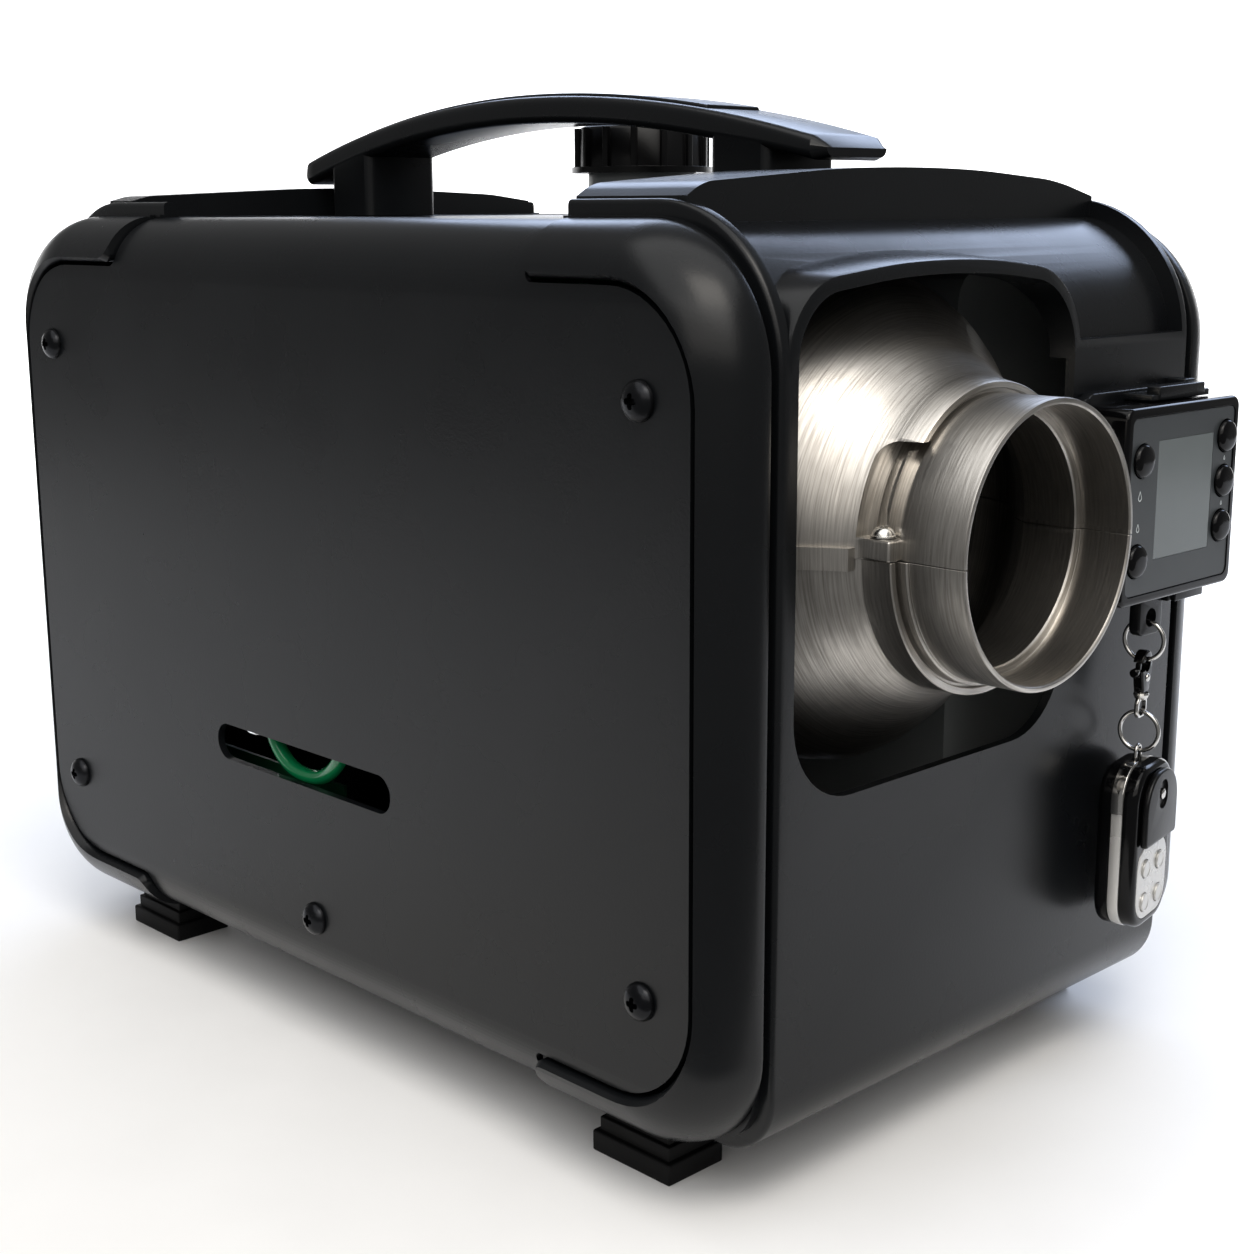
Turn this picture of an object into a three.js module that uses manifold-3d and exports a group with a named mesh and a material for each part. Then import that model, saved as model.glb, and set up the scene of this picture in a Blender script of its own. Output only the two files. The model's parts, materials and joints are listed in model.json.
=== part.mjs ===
// Portable diesel air heater in a carry case: millimetres, +Z up, standing on its four feet.
// The warm-air outlet looks along +X, the slotted side panel along -Y.
// The origin is on the floor, at the centre of the feet.
import * as THREE from 'three';
import { mergeVertices } from 'three/addons/utils/BufferGeometryUtils.js';
import Module from 'manifold-3d';

const wasm = await Module();
wasm.setup();

// ---- driving dimensions ----
const bodyHalfLength = 208;
const bodyBottom = 20;
const deckTop = 309;
const rimTop = 315;
const coreHalfWidth = 111.5;
const grooveWidth = 3.5;
const grooveDepth = 5;
const bumperRound = 24;
const bumperHalfWidth = 138;
const bumperTop = 309.5;
const panelHalfWidth = 134.4;
const panelHalfLength = 194.2;
const panelBottom = 38.7;
const panelTop = 290.3;
const panelWall = 3;
const hornEnd = 124;
const crownFront = { inner: 119, outer: 167, peak: 326 };
const crownRear = { inner: 149, outer: 167, peak: 321.5 };
const recessHalfWidth = 107;
const recessDepth = 6;
const recessLedge = 268;
const opening = { left: -104, right: 38, bottom: 134, shoulder: 256, corner: 28 };
const axisY = -30;
const axisZ = 211;
const spigotRadius = 45.3;
const outletTip = 247;
const neckEnd = 224;
const hoodSplit = 209.5;
const seam = 0.6;
const gap = 0.3;
const footHeight = bodyBottom - gap;
const footX = 150;
const footY = 103.3;
const gripCentre = -7;
const gripHalfLength = 150;
const gripHalfWidth = 19;
const gripTop = 354;
const gripEnd = 331;
const gripThickness = 10;
const legHalfWidth = 13.7;
const tank = { inner: 50.5, outer: 124, low: 45, high: 290, wall: 3 };
const filterPlace = { x: 66, y: -117, radius: 9.5, low: 80, high: 128 };
const tankOutlet = { x: 36, y: 46, z: 285.5 };
const pumpPlace = { x: 70, y: -100, z: 62 };
const fillerX = -15.7;
const fillerY = 54;
const neckRadius = 22.5;
const neckTop = 336;
const capRadius = 28;
const capTop = 345;
const gasketTop = neckTop + gap + 2.4;
const controller = { left: 38, right: 108, bottom: 181, top: 244, back: 213, face: 231 };
const buttonRadius = 5.7;
const chain = { x: 220, y: 72, yaw: 10, lugZ: 168.5, ringRadius: 7.2, wire: 0.8, sides: 6 };
const fob = { width: 35, height: 62, thick: 15, top: 117 };

// ---- materials ----
function finish(color, roughness, metalness) {
  return new THREE.MeshStandardMaterial({ color, roughness, metalness });
}
const blackCase = finish(0x26282a, 0.62, 0);
const blackGloss = finish(0x101214, 0.25, 0);
const rubberBlack = finish(0x141516, 0.85, 0);
const screwBlack = finish(0x1a1b1d, 0.3, 0.8);
const castAluminium = finish(0xb9b8b4, 0.35, 1);
const steel = finish(0xc4c2bf, 0.25, 1);
const tankPlastic = finish(0x9fa3a3, 0.5, 0);
const hoseGreen = finish(0x1f8a5c, 0.4, 0);
const clearPlastic = finish(0xbfd0e6, 0.2, 0);
const boardGreen = finish(0x1f5a3a, 0.5, 0);
const greyScreen = finish(0x6b7173, 0.15, 0);
const satinSilver = finish(0xc9c9c7, 0.35, 0.9);

// ---- solids ----
function solidOf(geometry) {
  const bare = new THREE.BufferGeometry();
  bare.setAttribute('position', geometry.getAttribute('position').clone());
  if (geometry.index) bare.setIndex(geometry.index.clone());
  return closedSolid(mergeVertices(bare, 1e-4));
}

// drops faces that have shrunk to a line, and turns the rest outward
function closedSolid(geometry) {
  const index = geometry.index.array;
  const points = geometry.getAttribute('position');
  const faces = [];
  let volume = 0;
  const a = new THREE.Vector3();
  const b = new THREE.Vector3();
  const c = new THREE.Vector3();
  for (let i = 0; i < index.length; i += 3) {
    const [p, q, r] = [index[i], index[i + 1], index[i + 2]];
    if (p === q || q === r || r === p) continue;
    faces.push(p, q, r);
    volume += a.fromBufferAttribute(points, p).dot(
      b.fromBufferAttribute(points, q).cross(c.fromBufferAttribute(points, r)));
  }
  if (volume < 0) faces.reverse();
  const mesh = new wasm.Mesh({
    numProp: 3,
    vertProperties: new Float32Array(points.array),
    triVerts: new Uint32Array(faces),
  });
  return new wasm.Manifold(mesh);
}

function skinOf(solid) {
  const { vertProperties, triVerts } = solid.getMesh();
  const geometry = new THREE.BufferGeometry();
  geometry.setAttribute('position', new THREE.BufferAttribute(vertProperties, 3));
  geometry.setIndex(new THREE.BufferAttribute(triVerts, 1));
  return geometry;
}

function moved(solid, matrix) {
  return closedSolid(skinOf(solid).applyMatrix4(matrix));
}

// the same form on the other side of the upright plane at y
function mirroredAt(solid, y) {
  return moved(solid, new THREE.Matrix4().makeScale(1, -1, 1).setPosition(0, 2 * y, 0));
}

function join(first, ...rest) {
  return rest.reduce((sum, next) => sum.add(next), first);
}

function cut(first, ...rest) {
  return rest.reduce((sum, next) => sum.subtract(next), first);
}

function meshOf(name, solid, material) {
  const flat = skinOf(solid).toNonIndexed();
  flat.computeVertexNormals();
  const mesh = new THREE.Mesh(flat, material);
  mesh.name = name;
  return mesh;
}

function box(x0, x1, y0, y1, z0, z1) {
  const geometry = new THREE.BoxGeometry(x1 - x0, y1 - y0, z1 - z0);
  return solidOf(geometry.translate((x0 + x1) / 2, (y0 + y1) / 2, (z0 + z1) / 2));
}

function rectShape(u0, u1, v0, v1, radius) {
  const shape = new THREE.Shape();
  shape.moveTo(u0 + radius, v0);
  shape.lineTo(u1 - radius, v0);
  shape.absarc(u1 - radius, v0 + radius, radius, -Math.PI / 2, 0, false);
  shape.lineTo(u1, v1 - radius);
  shape.absarc(u1 - radius, v1 - radius, radius, 0, Math.PI / 2, false);
  shape.lineTo(u0 + radius, v1);
  shape.absarc(u0 + radius, v1 - radius, radius, Math.PI / 2, Math.PI, false);
  shape.lineTo(u0, v0 + radius);
  shape.absarc(u0 + radius, v0 + radius, radius, Math.PI, Math.PI * 1.5, false);
  return shape;
}

function extruded(shape, depth, options) {
  const settings = { depth, bevelEnabled: false, curveSegments: 2, ...options };
  return new THREE.ExtrudeGeometry(shape, settings);
}

const alongX = new THREE.Matrix4().set(0, 0, 1, 0, 1, 0, 0, 0, 0, 1, 0, 0, 0, 0, 0, 1);
const alongY = new THREE.Matrix4().set(1, 0, 0, 0, 0, 0, -1, 0, 0, 1, 0, 0, 0, 0, 0, 1);

// a (y, z) outline pushed along X, an (x, z) outline along Y, an (x, y) outline along Z
function extrudeX(shape, x0, x1, options) {
  const geometry = extruded(shape, x1 - x0, options);
  return solidOf(geometry.applyMatrix4(alongX).translate(x0, 0, 0));
}

function extrudeY(shape, y0, y1, options) {
  const geometry = extruded(shape, y1 - y0, options);
  return solidOf(geometry.applyMatrix4(alongY).translate(0, y1, 0));
}

function extrudeZ(shape, z0, z1, options) {
  return solidOf(extruded(shape, z1 - z0, options).translate(0, 0, z0));
}

// a block with rounded upright edges and softened faces
function pad(u0, u1, v0, v1, w0, w1, corner, soft, extrude) {
  const shape = rectShape(u0 + soft, u1 - soft, v0 + soft, v1 - soft, corner - soft);
  const bevel = { bevelEnabled: true, bevelThickness: soft, bevelSize: soft, bevelSegments: 1 };
  return extrude(shape, w0 + soft, w1 - soft, { ...bevel, curveSegments: 1 });
}

// profile points are [distance along the axis, radius]
function latheX(profile, y, z, segments) {
  const points = profile.map(([h, r]) => new THREE.Vector2(r, h));
  const geometry = new THREE.LatheGeometry(points, segments).rotateZ(-Math.PI / 2);
  return solidOf(geometry.translate(0, y, z));
}

function latheZ(profile, x, y, segments) {
  const points = profile.map(([h, r]) => new THREE.Vector2(r, h));
  const geometry = new THREE.LatheGeometry(points, segments).rotateX(Math.PI / 2);
  return solidOf(geometry.translate(x, y, 0));
}

function latheY(profile, x, z, segments) {
  const points = profile.map(([h, r]) => new THREE.Vector2(r, h));
  return solidOf(new THREE.LatheGeometry(points, segments).translate(x, 0, z));
}

function rodX(y, z, r, x0, x1, segments = 24) {
  return latheX([[x0, 0], [x0, r], [x1, r], [x1, 0]], y, z, segments);
}

function rodZ(x, y, r, z0, z1, segments = 24) {
  return latheZ([[z0, 0], [z0, r], [z1, r], [z1, 0]], x, y, segments);
}

function rodY(x, z, r, y0, y1, segments = 24) {
  return latheY([[y0, 0], [y0, r], [y1, r], [y1, 0]], x, z, segments);
}

// rings of points with the same count, closed by a fan at each end
function loft(rings) {
  const count = rings[0].length;
  const positions = rings.flat().flat();
  const faces = [];
  for (let k = 0; k + 1 < rings.length; k += 1) {
    for (let i = 0; i < count; i += 1) {
      const j = (i + 1) % count;
      const [a, b, c, d] = [k * count + i, k * count + j, (k + 1) * count + j, (k + 1) * count + i];
      faces.push(a, b, c, a, c, d);
    }
  }
  const last = (rings.length - 1) * count;
  for (let i = 1; i + 1 < count; i += 1) {
    faces.push(0, i + 1, i);
    faces.push(last, last + i, last + i + 1);
  }
  const geometry = new THREE.BufferGeometry();
  geometry.setAttribute('position', new THREE.Float32BufferAttribute(positions, 3));
  geometry.setIndex(faces);
  return solidOf(geometry);
}

// a tube along a smooth route, hollow when it has a bore
function tube(route, radius, steps, sides, bore = 0) {
  const curve = new THREE.CatmullRomCurve3(route.map((p) => new THREE.Vector3(...p)));
  const section = new THREE.Shape();
  section.absarc(0, 0, radius, 0, Math.PI * 2, false);
  if (bore > 0) {
    const hole = new THREE.Path();
    hole.absarc(0, 0, bore, 0, Math.PI * 2, true);
    section.holes.push(hole);
  }
  const options = { steps, extrudePath: curve, curveSegments: sides / 2, bevelEnabled: false };
  return solidOf(new THREE.ExtrudeGeometry(section, options));
}

// ---- case ----
// one ring of the case outline, seen from the side, drawn in by inset
function sideRing(y, inset, top, radiusTop, radiusBottom, corners = 5) {
  const points = [];
  const reach = bodyHalfLength - inset;
  const low = bodyBottom + inset;
  const high = top - inset;
  const corner = (cx, cz, radius, start) => {
    for (let i = 0; i < corners; i += 1) {
      const angle = start + (Math.PI / 2) * (i / (corners - 1));
      points.push([cx + radius * Math.cos(angle), y, cz + radius * Math.sin(angle)]);
    }
  };
  const big = Math.max(radiusTop - inset, 2);
  const small = Math.max(radiusBottom - inset, 2);
  corner(reach - big, high - big, big, 0);
  corner(-reach + big, high - big, big, Math.PI / 2);
  corner(-reach + small, low + small, small, Math.PI);
  corner(reach - small, low + small, small, Math.PI * 1.5);
  return points;
}

const coreRing = (y, inset, corners) => sideRing(y, inset, rimTop, 50, 22, corners);
const bumperRing = (y, inset, corners) => sideRing(y, inset, bumperTop, 46, 38, corners);

// the whole outer form of both end caps: flat core, dark grooves, soft bumpers
function caseForm() {
  const inner = coreHalfWidth + grooveWidth;
  const centre = bumperHalfWidth - bumperRound;
  const half = [];
  for (let i = 0; i <= 5; i += 1) {
    const angle = (Math.PI / 2) * (i / 5);
    const y = Math.max(centre + bumperRound * Math.cos(angle), inner + 0.4);
    half.push([y, bumperRing, bumperRound * (1 - Math.sin(angle))]);
  }
  half.push([inner, bumperRing, 1]);
  half.push([inner, coreRing, grooveDepth]);
  half.push([coreHalfWidth, coreRing, grooveDepth]);
  half.push([coreHalfWidth, coreRing, 1.2]);
  half.push([coreHalfWidth - 1.2, coreRing, 0]);
  const near = half.map(([y, ring, inset]) => ring(-y, inset));
  const far = half.reverse().map(([y, ring, inset]) => ring(y, inset));
  return loft([...near, ...far]);
}

function caseCavity() {
  const wall = 3.5;
  const deep = recessDepth + 4;
  const core = loft([coreRing(-recessHalfWidth, deep, 4), coreRing(recessHalfWidth, deep, 4)]);
  const low = loft([coreRing(-recessHalfWidth, wall, 4), coreRing(recessHalfWidth, wall, 4)]);
  const below = box(-300, 300, -200, 200, 0, recessLedge - 6);
  const band = 17;
  const side = panelHalfWidth - panelWall - gap;
  const bumpers = loft([bumperRing(-side, band, 4), bumperRing(side, band, 4)]);
  return join(core, low.intersect(below), bumpers);
}

function panelShape(grow) {
  const half = panelHalfLength + grow;
  return rectShape(-half, half, panelBottom - grow, panelTop + grow, 34 + grow);
}

// the crowned deck of an end cap, arched across its width
function crown({ inner, outer, peak }) {
  const half = recessHalfWidth + 1;
  const rise = peak - rimTop;
  const radius = (half * half + rise * rise) / (2 * rise);
  const angle = Math.asin(half / radius);
  const shape = new THREE.Shape();
  shape.moveTo(-half, deckTop - 4);
  shape.lineTo(half, deckTop - 4);
  shape.absarc(0, peak - radius, radius, Math.PI / 2 - angle, Math.PI / 2 + angle, false);
  return extrudeX(shape, inner, outer, { curveSegments: 4 });
}

// the sunken curved field between the side rims, below the crown
function recess(outer) {
  const reach = recessHalfWidth;
  const block = box(outer, bodyHalfLength + 9, -reach, reach, recessLedge, rimTop + 30);
  const floor = loft([coreRing(-reach - 1, recessDepth), coreRing(reach + 1, recessDepth)]);
  return cut(block, floor);
}

// the outline of the front opening: straight sill, upright sides, arched brow
function openingShape(grow) {
  const { left, right, bottom, shoulder, corner } = opening;
  const [l, r, b, c] = [left - grow, right + grow, bottom - grow, corner + grow];
  const brow = 288.3 + grow;
  const shape = new THREE.Shape();
  shape.moveTo(l + c, b);
  shape.lineTo(r - c, b);
  shape.absarc(r - c, b + c, c, -Math.PI / 2, 0, false);
  shape.lineTo(r, shoulder);
  shape.bezierCurveTo(r, shoulder + 20, r - 9, brow - 3, r - 26, brow);
  shape.quadraticCurveTo((l + r) / 2, brow + 8.5, l + 22, brow - 1);
  shape.bezierCurveTo(l + 8, brow - 4, l, shoulder + 18, l, shoulder);
  shape.lineTo(l, b + c);
  shape.absarc(l + c, b + c, c, Math.PI, Math.PI * 1.5, false);
  return shape;
}

function shapeRing(shape, x) {
  const points = shape.getPoints(4);
  if (points[0].distanceTo(points[points.length - 1]) < 1e-6) points.pop();
  return points.map((p) => [x, p.x, p.y]);
}

// brow: a raised lip that runs round the top of the opening and sinks back into the field
function browLip() {
  const lip = loft([
    shapeRing(openingShape(9), 186),
    shapeRing(openingShape(5.5), 203),
    shapeRing(openingShape(3.6), 206.6),
    shapeRing(openingShape(2.6), bodyHalfLength),
  ]);
  return lip.intersect(box(180, bodyHalfLength + 1, -recessHalfWidth - 2, 60, 200, 320));
}

function capBlank(side) {
  const far = 400;
  const { inner, outer } = side > 0 ? crownFront : crownRear;
  const core = [hornEnd - 5, far, -coreHalfWidth - 2, coreHalfWidth + 2, 0, far];
  const bumperNear = [hornEnd, far, -200, -coreHalfWidth, 0, far];
  const bumperFar = [hornEnd, far, coreHalfWidth, 200, 0, far];
  const regions = [core, bumperNear, bumperFar].map((r) => box(...r));
  let form = caseForm().intersect(join(...regions));
  form = join(form, crown(side > 0 ? crownFront : crownRear));
  form = cut(form, recess(outer));
  if (side < 0) {
    form = cut(form, box(0, inner, -recessHalfWidth + 2, recessHalfWidth - 2, deckTop + 0.3, far));
  }
  const under = box(0, hornEnd, -200, 200, 0, bodyBottom + 30);
  form = cut(form, caseCavity(), under);
  const depth = panelHalfWidth - panelWall - gap;
  const bed = (y0, y1) => extrudeY(panelShape(seam), y0, y1, { curveSegments: 3 });
  return cut(form, bed(-200, -depth), bed(depth, 200));
}

function turnedAbout(solid) {
  return moved(solid, new THREE.Matrix4().makeRotationZ(Math.PI));
}

function frontCap() {
  const form = join(capBlank(1), cut(browLip(), caseCavity()));
  return cut(form, extrudeX(openingShape(0), 150, 260, { curveSegments: 4 }));
}

const grilleRadius = 66;
const grilleZ = axisZ - 16;
const exhaustPlace = { y: 22, z: 72, radius: 12 };
const intakePlace = { y: -22, z: 72, radius: 10 };
const socketPlace = { y: -88, z: 72 };

function rearCap() {
  const wallX = -bodyHalfLength;
  const holes = [
    rodX(axisY, grilleZ, grilleRadius + 1.5, wallX - 5, wallX + 20, 24),
    rodX(exhaustPlace.y, exhaustPlace.z, exhaustPlace.radius + 1, wallX - 5, wallX + 20, 16),
    rodX(intakePlace.y, intakePlace.z, intakePlace.radius + 1, wallX - 5, wallX + 20, 16),
    socketBody(gap + 0.3, wallX - 5, wallX + 20),
  ];
  return cut(turnedAbout(capBlank(-1)), ...holes);
}

// rounded section of the middle of the case, seen from the end
function middleShape(inset) {
  const half = panelHalfWidth - inset;
  return rectShape(-half, half, bodyBottom + inset, deckTop - inset, 25 - inset);
}

function sidePanel(side) {
  const length = panelHalfLength + 10;
  const shell = cut(
    extrudeX(middleShape(0), -length, length, { curveSegments: 3 }),
    extrudeX(middleShape(panelWall), -length - 1, length + 1, { curveSegments: 3 }));
  const edge = 109.9;
  const middle = hornEnd - 5 - seam;
  const tabs = join(
    box(-hornEnd + seam, hornEnd - seam, -200, -coreHalfWidth - grooveWidth, 0, 400),
    box(-middle, middle, -coreHalfWidth - grooveWidth - 1, -edge, 0, 400));
  const plate = extrudeY(panelShape(0), -200, -(panelHalfWidth - panelWall), { curveSegments: 3 });
  const form = shell.intersect(join(tabs, plate));
  if (side < 0) {
    const slot = extrudeY(rectShape(-61.7, 48.6, 102.8, 117, 7), -200, -100);
    const holes = screwPlaces.map(([x, z]) => rodY(x, z, 3.2, -200, -100, 8));
    return cut(form, slot, ...holes);
  }
  const heads = screwPlaces.map(([x, z]) => screwHead(x, z, headSunk));
  return mirroredAt(join(form, ...heads), 0);
}

const screwPlaces = [[-173.6, 257.8], [173.6, 257.8], [-173.6, 72.2], [173.6, 72.2], [0, 52]];
const headSunk = 1;

// domed pan head, drawn round its own axis so that it faces -Y
function screwHead(x, z, sunk) {
  const face = -panelHalfWidth - gap;
  const profile = [[face - 4, 0], [face - 3.7, 2.8], [face - 2.5, 5.1], [face - 0.8, 6.3]];
  profile.push([face + sunk, 6.3], [face + sunk, 0]);
  return latheY(profile, x, z, 10);
}

// pan screw with a cross recess
function panScrew(x, z) {
  const face = -panelHalfWidth - gap;
  const shank = rodY(x, z, 2.7, face - 0.5, face + 9, 8);
  const [arm, wide, deep] = [2.9, 0.8, 2];
  const slots = [
    box(x - arm, x + arm, face - 5, face - deep, z - wide, z + wide),
    box(x - wide, x + wide, face - 5, face - deep, z - arm, z + arm),
  ];
  return cut(join(screwHead(x, z, 0), shank), ...slots);
}

function topDeck() {
  const edge = 109.5;
  const [x0, x1] = [-hornEnd + 5 + seam, crownFront.inner - seam];
  const plate = box(x0, x1, -edge, edge, deckTop - 3.5, deckTop);
  const ribs = [-70, 20, 84].map((x) => box(x, x + 3, -edge + 4, edge - 4, deckTop - 7, deckTop - 3));
  const neckHole = rodZ(fillerX, fillerY, neckRadius + 1.2, 200, 400, 24);
  return cut(join(plate, ...ribs), neckHole);
}

function baseTray() {
  const edge = 109.5;
  const reach = hornEnd - seam;
  const plate = box(-reach, reach, -edge, edge, bodyBottom, bodyBottom + 4);
  const railTop = axisZ - casingHalf - gap;
  const rails = [-58, -8].map((y) => box(-118, 118, y, y + 6, bodyBottom + 3, railTop));
  const saddles = [-110, 104].map((x) => box(x, x + 6, 56, 106, bodyBottom + 3, tank.low - gap));
  const filterSide = filterPlace.y + filterPlace.radius + gap;
  const filterPost = box(58, 69, filterSide, filterSide + 5, bodyBottom + 3, 104);
  const windows = [-80, -20, 40].map((x) => box(x, x + 40, -100, 60, 48, 112));
  const vents = [];
  for (let k = 0; k < 7; k += 1) {
    vents.push(box(-100 + k * 30, -84 + k * 30, 60, 96, 0, bodyBottom + 10));
  }
  return cut(join(plate, ...rails, ...saddles, filterPost), ...windows, ...vents);
}

function foot(sideX, sideY) {
  const [x, y] = [sideX * footX, sideY * footY];
  const [long, wide] = [18.3, 12.9];
  const inset = 3.3;
  const outer = rectShape(x - long, x + long, y - wide, y + wide, 2.5);
  const inner = rectShape(x - long + inset, x + long - inset, y - wide + inset, y + wide - inset, 2);
  const sole = extrudeZ(outer, 0, 7.6, { curveSegments: 2 });
  return join(sole, extrudeZ(inner, 7, footHeight, { curveSegments: 1 }));
}

// ---- handle ----
function gripHeight(x) {
  const rise = gripTop - gripEnd;
  const radius = (gripHalfLength ** 2 + rise ** 2) / (2 * rise);
  const offset = x - gripCentre;
  return gripTop - radius + Math.sqrt(radius ** 2 - offset ** 2);
}

function sectionRing(x, halfWidth, low, high, radius) {
  const points = [];
  const corners = [[1, 1, 0], [-1, 1, 1], [-1, -1, 2], [1, -1, 3]];
  corners.forEach(([sy, sz, quarter]) => {
    for (let i = 0; i <= 2; i += 1) {
      const angle = (Math.PI / 2) * (quarter + i / 2);
      const cy = sy * (halfWidth - radius);
      const cz = sz > 0 ? high - radius : low + radius;
      points.push([x, cy + radius * Math.cos(angle), cz + radius * Math.sin(angle)]);
    }
  });
  return points;
}

function arch(x0, x1, steps, halfWidth, below, above, radius) {
  const rings = [];
  for (let i = 0; i <= steps; i += 1) {
    const x = x0 + (x1 - x0) * (i / steps);
    rings.push(sectionRing(x, halfWidth, gripHeight(x) - below, gripHeight(x) + above, radius));
  }
  return loft(rings);
}

const gripPadHalf = 108;

function carryHandle() {
  const [x0, x1] = [gripCentre - gripHalfLength, gripCentre + gripHalfLength];
  const tip = 3;
  let bar = arch(x0 + tip, x1 - tip, 12, gripHalfWidth, gripThickness, 0, 3.5);
  const nose = (x, far) => loft([
    sectionRing(x, gripHalfWidth, gripHeight(x) - gripThickness, gripHeight(x), 3.5),
    sectionRing(far, gripHalfWidth - 3, gripHeight(x) - gripThickness + 2.2, gripHeight(x) - 2.6, 2),
  ]);
  bar = join(bar, nose(x1 - tip, x1), nose(x0 + tip, x0));
  const legs = [];
  [-1, 1].forEach((side) => {
    const inner = gripCentre + side * 96;
    const outer = gripCentre + side * 134;
    const [low, high] = [Math.min(inner, outer), Math.max(inner, outer)];
    const block = extrudeZ(rectShape(low, high, -legHalfWidth, legHalfWidth, 4), deckTop + gap, 348);
    const middle = outer + side * 3;
    const width = legHalfWidth - 2;
    const web = box(middle - 9, middle + 9, -width, width, crownFront.peak + seam, 336);
    legs.push(join(block, web));
  });
  const underArch = arch(x0 - 1, x1 + 1, 12, 40, 60, -gripThickness / 2, 3);
  const trimmed = join(...legs).intersect(underArch);
  const overCrown = box(crownFront.inner - gap, 200, -60, 60, 300, crownFront.peak + gap);
  const form = cut(join(bar, trimmed), overCrown);
  const padBed = arch(gripCentre - gripPadHalf, gripCentre + gripPadHalf, 9, 14.5, 2.5, 3, 1);
  return cut(form, padBed);
}

function handleGrip() {
  const half = gripPadHalf - gap;
  return arch(gripCentre - half, gripCentre + half, 9, 14.5 - gap, 2.5 - gap, 1.4, 1);
}

// ---- fuel side ----
function fuelTank() {
  const { inner, outer, low, high, wall } = tank;
  const skin = (inset) => rectShape(inner + inset, outer - inset, low + inset, high - inset, 12 - inset);
  const body = extrudeX(skin(0), -170, 150);
  const inside = extrudeX(skin(wall), -170 + wall, 150 - wall);
  const shoulder = box(-46, 15, 29, inner + 10, high - 9, high);
  const shoulderInside = box(-43, 12, 32, inner + 10, high - 6.5, high - 2.5);
  const neck = rodZ(fillerX, fillerY, neckRadius, high - 5, neckTop, 20);
  const bore = rodZ(fillerX, fillerY, neckRadius - 3, high - 6.5, neckTop + 9, 20);
  const outlet = rodY(tankOutlet.x, tankOutlet.z, 2.4, tankOutlet.y, inner + 4, 8);
  return cut(join(body, shoulder, neck, outlet), inside, shoulderInside, bore);
}

function fillerCap() {
  const low = 326.2;
  const bead = capRadius + 1.3;
  const profile = [[low, 0], [low, bead], [low + 2.4, bead], [low + 2.6, capRadius - 1.6]];
  profile.push([capTop - 1.5, capRadius - 1.9], [capTop, capRadius - 4], [capTop, 0]);
  const skirt = latheZ(profile, fillerX, fillerY, 20);
  const ribs = [];
  const count = 10;
  const [ribLow, ribHigh] = [low + 2, capTop - 3];
  for (let k = 0; k < count; k += 1) {
    const bar = new THREE.BoxGeometry(3, 3.2, ribHigh - ribLow).translate(capRadius - 1.6, 0, 0);
    bar.rotateZ((Math.PI * 2 * k) / count).translate(fillerX, fillerY, (ribHigh + ribLow) / 2);
    ribs.push(solidOf(bar));
  }
  const inside = rodZ(fillerX, fillerY, neckRadius + 0.4, low - 6, gasketTop + gap, 20);
  return cut(join(skirt, ...ribs), inside);
}

function capGasket() {
  const [low, wide] = [neckTop + gap, neckRadius - 0.4];
  const profile = [[low, 17], [low, wide], [gasketTop, wide], [gasketTop, 17], [low, 17]];
  return latheZ(profile, fillerX, fillerY, 20);
}

function fuelFilter() {
  const { x, y, radius, low, high } = filterPlace;
  const spigot = 2.6;
  const profile = [[low, 0], [low, spigot], [low + 8, spigot], [low + 10, radius]];
  profile.push([high - 10, radius], [high - 8, spigot], [high, spigot], [high, 0]);
  return latheZ(profile, x, y, 14);
}

// from the filter, round a U bend behind the slot, over the heater and into the side of the tank
function fuelLine() {
  const { x, y, high } = filterPlace;
  const bend = 102.5;
  const start = high + gap + 0.1;
  const end = tankOutlet;
  const rise = [[x, y, start], [x, y, start + 10], [x - 8, y - 3, 158], [x - 26, y - 5, 164]];
  const drop = [[x - 44, y - 7, 152], [x - 54, y - 8, 128], [x - 63, y - 8, bend + 7]];
  const back = [[x - 81, y - 8, bend], [x - 99, y - 8, bend + 7], [x - 107, y - 7, 130]];
  const climb = [[x - 110, y - 4, 170], [x - 112, y - 1, 230], [x - 113, y + 5, 262]];
  const over = [[x - 110, y + 17, 279], [x - 98, y + 45, end.z], [x - 66, y + 95, end.z]];
  const tip = [[end.x - 6, end.y - 24, end.z], [end.x, end.y - 6, end.z], [end.x, end.y - gap, end.z]];
  return tube([...rise, ...drop, ...back, ...climb, ...over, ...tip], 3, 36, 6);
}

function fuelPump() {
  const { x, y, z } = pumpPlace;
  const nozzle = 2.4;
  const profile = [[x, 0], [x, nozzle], [x + 10, nozzle], [x + 11, 9], [x + 16, 12]];
  profile.push([x + 60, 12], [x + 64, 8], [x + 70, 8], [x + 72, nozzle], [x + 82, nozzle], [x + 82, 0]);
  const stand = box(x + 26, x + 46, y - 4, y + 4, bodyBottom + 4 + gap, z - 8);
  return join(latheX(profile, y, z, 14), stand);
}

// a circuit board on edge, standing on the base tray, with its parts facing inwards
function controlBoard() {
  const foot = bodyBottom + 4 + gap;
  const face = -102.4;
  const board = box(-118, -22, face - 1.6, face, foot, foot + 68);
  const chips = [];
  for (let k = 0; k < 6; k += 1) {
    const [x, z] = [-111 + (k % 3) * 29, foot + 8 + Math.floor(k / 3) * 32];
    const height = 3 + (k % 2) * 4;
    chips.push(box(x, x + 15 + k, face - 0.6, face + height, z, z + 16 + (k % 3) * 3));
  }
  return join(board, ...chips);
}

// ---- heater ----
const casingHalf = 70;

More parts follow.
